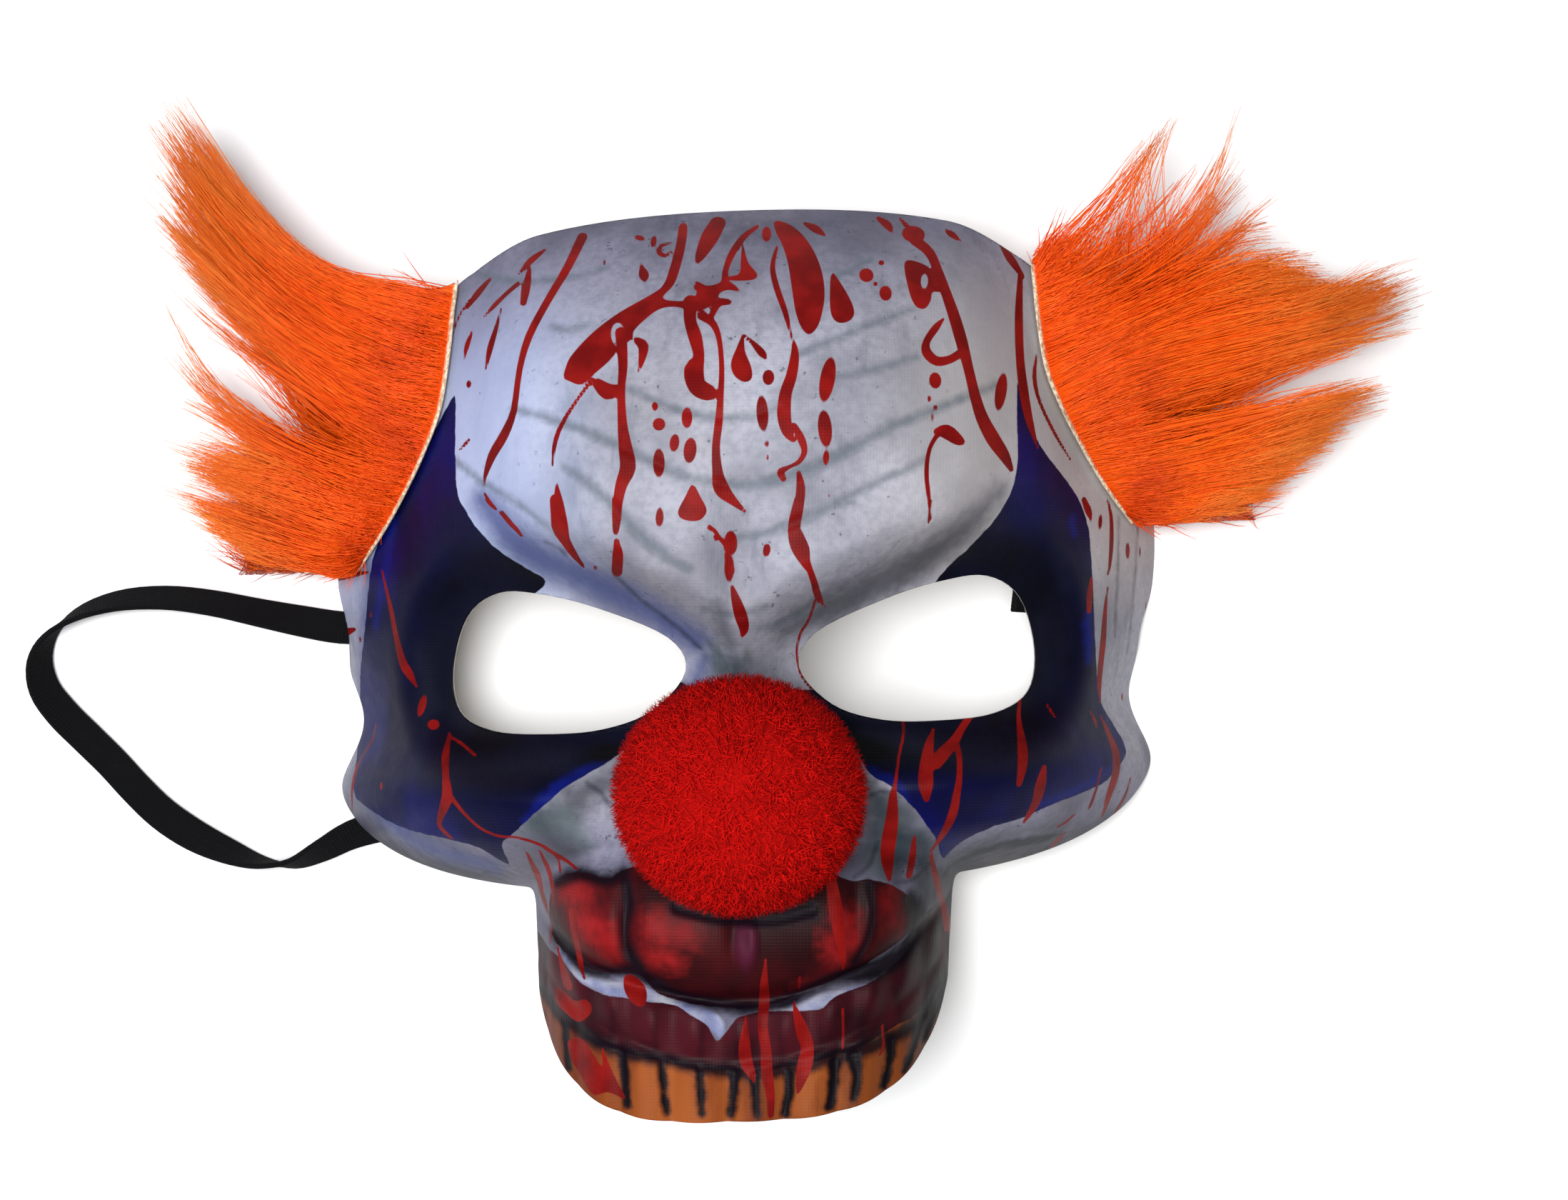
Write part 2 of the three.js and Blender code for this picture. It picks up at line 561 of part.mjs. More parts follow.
// A lock of hair: a flat tapered tube along a bent line.
function lockSolid(root, bend, tip, width) {
  const line = new THREE.QuadraticBezierCurve3(root, bend, tip);
  const [steps, sides] = [5, 6];
  const points = [];
  for (let i = 0; i < steps; i += 1) {
    const t = i / steps;
    const along = line.getTangent(t);
    const flat = new THREE.Vector3(-along.y, along.x, 0).normalize();
    const thick = new THREE.Vector3().crossVectors(along, flat);
    const taper = Math.sqrt(1 - t * t * t);
    for (let k = 0; k < sides; k += 1) {
      const angle = 2 * Math.PI * k / sides;
      points.push(line.getPoint(t)
        .addScaledVector(flat, Math.cos(angle) * taper * width / 2)
        .addScaledVector(thick, Math.sin(angle) * taper * LOCK_THICKNESS / 2).toArray());
    }
  }
  points.push(root.toArray(), tip.toArray());
  const [rootCentre, end] = [points.length - 2, points.length - 1];
  const triangles = [];
  for (let k = 0; k < sides; k += 1) {
    const next = (k + 1) % sides;
    triangles.push([rootCentre, next, k]);
    for (let i = 0; i < steps - 1; i += 1) {
      const [a, b] = [i * sides + k, i * sides + next];
      triangles.push([a, b, b + sides], [a, b + sides, a + sides]);
    }
    const last = (steps - 1) * sides;
    triangles.push([last + k, last + next, end]);
  }
  return manifoldOf(geometryFrom(points, triangles));
}

function tuftSolid(side, locks) {
  const limits = [BELOW - 6, ABOVE];
  let fur = blockUnder((x, y) => parallelHeight(x, y, pileHeight(x, y)), FUR_X, FUR_Y, BELOW)
    .intersect(prism(patchLoop(side), ...limits));
  const floor = blockUnder((x, y) => rimHeight(x, y) + PATCH_SEAT, FUR_X, FUR_Y, BELOW - 4);
  fur = fur.subtract(floor);
  for (const lock of locks) {
    const up = level(lock.root);
    const x = side * (patchFront(up) + lock.behind * PATCH_REAR);
    const y = leaned([x, up + side * PATCH_SHIFT])[1];
    const z = parallelHeight(x, y, PILE / 2);
    const root = new THREE.Vector3(x, y, z);
    const offset = ([across, rise], high) => new THREE.Vector3(
      x + side * across * FUR_LENGTH, y + rise * FUR_LENGTH, z * high);
    const bend = offset(lock.bend, 1 + 0.35 * (lock.high - 0.5));
    fur = fur.add(lockSolid(root, bend, offset(lock.tip, lock.high), lock.wide * LOCK_WIDTH));
  }
  return fur.subtract(clearOfShell());
}

// The band's line through its rows, with its turn at each row in radians.
function bandLine() {
  const clearance = WALL + BAND_SLACK + BAND_THICKNESS / 2;
  const places = BAND_ROUTE.map((row) => {
    const roll = THREE.MathUtils.degToRad(row.roll);
    const half = (BAND_WIDTH * Math.abs(Math.sin(roll)) + BAND_THICKNESS * Math.abs(Math.cos(roll))) / 2;
    const onTable = BAND_CLEAR + half + (row.lift ?? 0);
    const x = row.across * FACE_HALF_WIDTH;
    return new THREE.Vector3(x, row.y, row.inside ? parallelHeight(x, row.y, -clearance) : onTable);
  });
  const rolls = BAND_ROUTE.map((row, i) => {
    if (!row.inside) return THREE.MathUtils.degToRad(row.roll);
    const before = places[Math.max(i - 1, 0)];
    const after = places[Math.min(i + 1, places.length - 1)];
    const { level0, upward } = levelAxes(after.clone().sub(before).normalize());
    const normal = innerNormal(places[i].x, row.y);
    return -Math.atan(normal.dot(level0) / normal.dot(upward));
  });
  return { places, rolls };
}

// The level direction across a line and the upward one, both square to it.
function levelAxes(along) {
  const level0 = new THREE.Vector3(-along.y, along.x, 0).normalize();
  return { level0, upward: new THREE.Vector3().crossVectors(along, level0) };
}

function innerNormal(x, y) {
  const slope = (dx, dy) => parallelHeight(x + dx, y + dy, -WALL) - parallelHeight(x - dx, y - dy, -WALL);
  return new THREE.Vector3(-slope(0.5, 0), -slope(0, 0.5), 1).normalize();
}

// Stations along the band: place, direction, and the axes across its width and through its thickness.
function bandStations() {
  const { places, rolls } = bandLine();
  const line = new THREE.CatmullRomCurve3(places, false, 'centripetal');
  const steps = 2 * (places.length - 1);
  return Array.from({ length: steps + 1 }, (_, i) => {
    const k = Math.min(Math.floor(i / 2), places.length - 2);
    const roll = THREE.MathUtils.lerp(rolls[k], rolls[k + 1], i / 2 - k);
    const along = line.getTangent(i / steps);
    const { level0, upward } = levelAxes(along);
    const flat = level0.multiplyScalar(Math.cos(roll)).addScaledVector(upward, Math.sin(roll));
    const thick = new THREE.Vector3().crossVectors(along, flat);
    return { place: line.getPoint(i / steps), along, flat, thick };
  });
}

function bandGeometry() {
  const corners = [[-1, -1], [1, -1], [1, 1], [-1, 1]];
  const stations = bandStations();
  const points = stations.flatMap(({ place, flat, thick }) => corners.map(([a, b]) => place.clone()
    .addScaledVector(flat, a * BAND_WIDTH / 2)
    .addScaledVector(thick, b * BAND_THICKNESS / 2).toArray()));
  const triangles = [];
  for (let i = 0; i < stations.length - 1; i += 1) {
    for (let k = 0; k < 4; k += 1) {
      const [a, b] = [4 * i + k, 4 * i + (k + 1) % 4];
      triangles.push([a, b, b + 4], [a, b + 4, a + 4]);
    }
  }
  const last = 4 * (stations.length - 1);
  triangles.push([0, 2, 1], [0, 3, 2], [last, last + 1, last + 2], [last, last + 2, last + 3]);
  return geometryFrom(points, triangles);
}

// A staple over the band near one of its ends: a crown across the band and a leg down each side of it.
function stapleSolid(stations) {
  const end = stations[0].place;
  const { place, along, flat, thick } = stations.find((one) => one.place.distanceTo(end) >= STAPLE_FROM_END);
  const crownLength = BAND_WIDTH + 2 * (GAP + STAPLE_WIRE);
  const away = BAND_THICKNESS / 2 + GAP + STAPLE_WIRE / 2;
  const legLength = BAND_THICKNESS + GAP + STAPLE_WIRE / 2;
  const axes = new THREE.Matrix4().makeBasis(along, flat, thick);
  const bar = (width, height, y, z) => manifoldOf(new THREE.BoxGeometry(STAPLE_WIRE, width, height)
    .translate(0, y, z).applyMatrix4(axes).translate(...place.toArray()));
  const side = (crownLength - STAPLE_WIRE) / 2;
  const crown = bar(crownLength, STAPLE_WIRE, 0, -away);
  const leg = (way) => bar(STAPLE_WIRE, legLength, way * side, legLength / 2 - away);
  return crown.add(leg(1)).add(leg(-1));
}

const group = new THREE.Group();

function addPiece(name, geometry, finish) {
  const mesh = new THREE.Mesh(geometry, new THREE.MeshStandardMaterial(finish));
  mesh.name = name;
  group.add(mesh);
}

addPiece('mask_shell', geometryOf(shellSolid()), COLOURS.shell);
addPiece('nose_pompom', geometryOf(pompomSolid()), COLOURS.pompom);
addPiece('left_fur_tuft', geometryOf(tuftSolid(-1, LEFT_LOCKS)), COLOURS.fur);
addPiece('right_fur_tuft', geometryOf(tuftSolid(1, RIGHT_LOCKS)), COLOURS.fur);
addPiece('left_staple', geometryOf(stapleSolid(bandStations())), COLOURS.staple);
addPiece('right_staple', geometryOf(stapleSolid(bandStations().reverse())), COLOURS.staple);

// The origin is under the middle of the mask's own box, on the table; the loose band doesn't count.
const box = new THREE.Box3().setFromObject(group);
const middle = box.getCenter(new THREE.Vector3());
group.position.set(-middle.x, -middle.y, -box.min.z);
addPiece('elastic_strap', bandGeometry(), COLOURS.band);

export default group;
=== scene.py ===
import math

import bpy
import numpy as np
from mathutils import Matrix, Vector
from mathutils.geometry import delaunay_2d_cdt


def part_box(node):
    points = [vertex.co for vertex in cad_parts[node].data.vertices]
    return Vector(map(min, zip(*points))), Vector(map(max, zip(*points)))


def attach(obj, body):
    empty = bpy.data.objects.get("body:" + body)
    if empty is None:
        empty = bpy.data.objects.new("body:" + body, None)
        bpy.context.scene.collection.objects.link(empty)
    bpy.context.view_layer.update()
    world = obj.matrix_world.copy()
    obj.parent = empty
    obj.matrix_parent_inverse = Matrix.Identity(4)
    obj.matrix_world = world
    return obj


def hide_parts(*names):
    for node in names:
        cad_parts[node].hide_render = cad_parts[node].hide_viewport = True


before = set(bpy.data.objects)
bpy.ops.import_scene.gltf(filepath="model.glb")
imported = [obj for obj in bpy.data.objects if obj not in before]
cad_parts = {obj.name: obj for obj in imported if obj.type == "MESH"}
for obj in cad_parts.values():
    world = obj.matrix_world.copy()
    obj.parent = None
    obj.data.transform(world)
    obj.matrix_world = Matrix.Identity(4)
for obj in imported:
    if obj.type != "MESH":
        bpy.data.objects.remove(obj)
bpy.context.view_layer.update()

MM = 0.001
random = np.random.default_rng(7)

# The face is worked out in millimetres over its front view: `across` counts from its middle line and `up` from
# its eye line. FACE_MIDDLE is where that middle lies in the frame.
SHELL_LOW, SHELL_HIGH = (np.array(corner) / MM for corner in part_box("mask_shell"))
FACE_TOP = 87.97
FACE_MIDDLE = np.array([(SHELL_LOW[0] + SHELL_HIGH[0]) / 2, SHELL_HIGH[1] - FACE_TOP, 0])

# Sizes of the shell, as in the solid
WALL = 2
FACE_HALF_WIDTH = 87
FACE_UP = 87
FACE_DOWN = 87
SKULL_DEPTH = 68
LEAN = 0.035
BROW_LOW = 9
BROW_LIFT = 26
BROW_REACH = 55
BROW_RISE = 11
BROW_BEVEL = 13
BROW_ROUND = 3
BROW_MELT = 12
PANEL_HALF_WIDTH = 58.5
PANEL_SIDE_LOSS = 0.45
TEMPLE_BAND = 18
EYE_CENTRE = 35
EYE_WIDTH = 48
EYE_HEIGHT = 28
SOCKET_DEPTH = 10
SOCKET_RING = 13
CHEEK_RISE = 6
CHEEK_UP = -21
CHEEK_SPREAD = 9
CHEEK_INNER = 14
CHEEK_OUTER = 42
FLANK_UP = -33
FLANK_REACH = 12
FLANK_DROP = 22
NOSE_UP = -23
NOSE_RISE = 8
NOSE_HALF_WIDTH = 10
NOSE_HALF_HEIGHT = 14
FROWN_DEPTH = 2.2
FROWN_UP = 20
JAW_DEPTH = 71
JAW_SPREAD = 47.5
JAW_FULLNESS = 5
JAW_HALF_WIDTH = 43
JAW_CORNER_UP = -45
JAW_START = -5
JAW_FULL = -42
JAW_MELT = 8
JAW_SINK = 60
LIP_TOP = -39
LIP_LINE = -64.5
LIP_CURVE = 0.0085
LIP_RISE = 3.4
LIP_FOLD = 21.5
LIP_FOLD_DEPTH = 1.8
LIP_GROOVE = 1.6
GUM_LINE = -75.4
GUM_CURVE = 0.0095
GUM_RISE = 1.8
GUM_PITCH = 8.7
TOOTH_PITCH = 10.6
TOOTH_OFFSET = -2.6
TOOTH_RISE = 1.3
PHILTRUM_UP = -50
PHILTRUM_DEPTH = 1.5
FOOT_TOP = 34
FOOT_BOTTOM = -24
RIM_TOP_RISE = 46
RIM_TOP_BEND = 1.15
RIM_JAW_RISE = 34
RIM_JAW_REACH = 32
RIM_CHIN_RISE = 8
ARCH_HEIGHT = 4
ARCH_UP = 4
ARCH_HALF_WIDTH = 11

# Pompom, fur and band, as in the solids
POMPOM_WIDTH = 46
POMPOM_HEIGHT = 43.5
POMPOM_SINK = 8
GAP = 0.3
PILE = 7
BACKING = 1.2
PILE_RAMP = 12
PATCH_REAR = 32
PATCH_SHIFT = 2.1
PATCH_SEAT = 1.5
BAND_WIDTH = 7
BAND_THICKNESS = 1.2
BAND_CLEAR = 0.9
BAND_SLACK = 1.7

# The plain skull, a row for each level: up as a share of FACE_UP or FACE_DOWN, depth of SKULL_DEPTH,
# half of FACE_HALF_WIDTH, and fullness as the power of the section.
SKULL_ROWS = np.array([
    (-1.15, 0.85, 0.93, 3.0),
    (-0.70, 0.90, 0.94, 3.0),
    (-0.45, 0.95, 0.955, 3.1),
    (-0.30, 0.97, 0.975, 3.2),
    (-0.14, 0.97, 0.945, 3.3),
    (0.00, 0.97, 0.985, 3.1),
    (0.20, 0.985, 1.01, 2.9),
    (0.40, 1.00, 1.00, 2.6),
    (0.60, 0.96, 0.99, 2.4),
    (0.80, 0.81, 0.99, 2.35),
    (1.00, 0.54, 1.00, 2.3),
    (1.20, 0.15, 1.00, 2.3),
])
# Outline of an eye hole, across and up, as shares of half its width and half its height from its centre
EYE_OUTLINE = np.array([
    (-1.00, -0.18),
    (-0.86, 0.30),
    (-0.31, 0.72),
    (0.17, 0.95),
    (0.56, 1.00),
    (0.85, 0.68),
    (0.99, -0.07),
    (0.93, -0.68),
    (0.62, -0.95),
    (0.14, -1.00),
    (-0.33, -0.95),
    (-0.73, -0.71),
])
# Front edge of the fur patches: up as a share of FACE_UP, across of FACE_HALF_WIDTH
PATCH_EDGE = np.array([
    (0.25, 0.93),
    (0.33, 0.856),
    (0.427, 0.785),
    (0.508, 0.733),
    (0.60, 0.69),
    (0.727, 0.67),
    (0.852, 0.663),
    (0.97, 0.655),
])
# Flow lines of the fur over the front view: level of the root, two places on the way and the tip (across and
# up), height of the tip as a share of the root's, and how thickly hairs follow the line
RIGHT_FLOW = np.array([
    (0.86, 65.3, 88.3, 74.0, 97.1, 84.1, 107.9, 0.80, 0.16),
    (0.83, 68.4, 86.5, 79.3, 96.6, 88.3, 108.4, 0.80, 0.03),
    (0.80, 72.1, 82.5, 85.7, 94.6, 94.7, 109.3, 0.75, 0.05),
    (0.76, 75.7, 78.8, 90.9, 91.3, 98.9, 108.2, 0.75, 0.09),
    (0.72, 78.9, 75.7, 93.2, 86.2, 102.4, 96.4, 0.70, 0.10),
    (0.67, 81.1, 72.1, 96.5, 79.9, 110.8, 81.7, 0.70, 0.30),
    (0.61, 83.2, 67.9, 100.6, 74.0, 118.2, 74.4, 0.75, 0.55),
    (0.56, 85.5, 62.7, 109.3, 68.3, 134.2, 76.4, 0.75, 1.00),
    (0.51, 87.9, 58.7, 110.7, 64.3, 135.2, 72.1, 0.75, 0.60),
    (0.46, 90.5, 52.6, 113.4, 57.1, 136.1, 64.8, 0.75, 0.03),
    (0.42, 91.9, 47.4, 112.6, 51.9, 131.1, 55.0, 0.80, 0.03),
    (0.37, 92.3, 40.6, 110.8, 46.1, 130.0, 52.1, 0.85, 0.50),
    (0.31, 91.5, 35.9, 105.7, 39.1, 120.9, 42.4, 0.90, 1.00),
    (0.28, 90.4, 31.5, 101.2, 34.3, 113.1, 37.0, 0.95, 0.60),
    (0.26, 87.1, 26.7, 94.6, 28.3, 101.6, 30.5, 1.00, 0.60),
])
LEFT_FLOW = np.array([
    (0.87, -74.3, 75.2, -91.5, 82.3, -114.0, 109.3, 0.80, 0.80),
    (0.80, -77.5, 71.6, -96.5, 83.5, -116.8, 108.3, 0.75, 1.00),
    (0.72, -79.4, 64.5, -98.9, 78.6, -117.8, 102.2, 0.75, 1.00),
    (0.66, -78.7, 58.7, -98.7, 71.6, -116.0, 91.1, 0.75, 1.00),
    (0.59, -77.6, 53.0, -96.7, 66.0, -116.4, 84.1, 0.70, 1.00),
    (0.54, -77.3, 48.6, -94.1, 60.4, -115.8, 78.8, 0.70, 0.30),
    (0.50, -78.1, 44.7, -95.5, 54.8, -115.9, 73.7, 0.70, 0.03),
    (0.47, -80.1, 40.2, -99.9, 49.1, -117.1, 70.2, 0.70, 0.03),
    (0.44, -82.1, 38.0, -101.7, 46.8, -115.9, 63.4, 0.75, 0.40),
    (0.40, -81.8, 34.0, -94.8, 39.7, -114.0, 45.3, 0.85, 0.30),
    (0.36, -83.2, 30.0, -97.4, 35.3, -115.7, 40.6, 0.90, 0.90),
    (0.31, -86.6, 24.9, -99.5, 29.6, -115.6, 35.4, 0.95, 0.20),
    (0.28, -87.7, 20.0, -100.6, 23.8, -114.6, 29.9, 1.00, 0.90),
    (0.26, -85.3, 15.4, -94.5, 17.7, -104.7, 23.0, 1.10, 0.60),
])

# Route of the band over the front view, in metres, with its turn in degrees and its lift off the table.
# None in place of the turn means that the row lies against the inner face of the shell.
BAND_ROUTE = [
    (-0.064, 0.006, None),
    (-0.069, 0.0056, None),
    (-0.074, 0.0053, None),
    (-0.080, 0.005, 4),
    (-0.087, 0.005, 8),
    (-0.0954, 0.0064, 24),
    (-0.1043, 0.0082, 38),
    (-0.1145, 0.0103, 45),
    (-0.1247, 0.0114, 48),
    (-0.135, 0.0106, 55),
    (-0.1435, 0.0076, 70),
    (-0.1488, 0.0032, 92),
    (-0.151, -0.0022, 120),
    (-0.1502, -0.008, 142),
    (-0.1466, -0.0134, 160),
    (-0.1416, -0.0186, 172),
    (-0.1362, -0.024, 178),
    (-0.131, -0.0296, 176),
    (-0.1252, -0.035, 168),
    (-0.118, -0.0396, 152),
    (-0.1104, -0.043, 126),
    (-0.1036, -0.0452, 98),
    (-0.097, -0.0454, 74),
    (-0.091, -0.0428, 52),
    (-0.0845, -0.0394, 30),
    (-0.076, -0.0372, 12),
    (-0.064, -0.037, 3),
    (-0.048, -0.0386, 0),
    (-0.030, -0.0404, 0),
    (-0.010, -0.0414, 0),
    (0.012, -0.0408, 0),
    (0.033, -0.0376, 0),
    (0.051, -0.0306, 0),
    (0.063, -0.0194, -6),
    (0.0692, -0.007, -24),
    (0.072, 0.0034, -44),
    (0.0705, 0.0092, None),
    (0.065, 0.0108, None),
    (0.0595, 0.0116, None),
    (0.0545, 0.012, None),
]
BAND_LIFTS = {35: 0.007}

# Relief of the print
FOLD_DEPTH = 0.45
TOOTH_GAP_DEPTH = 0.5
MOUTH_LINE_DEPTH = 0.4
PHILTRUM_PAD = 1.2
THIN_BLOOD = 0.55

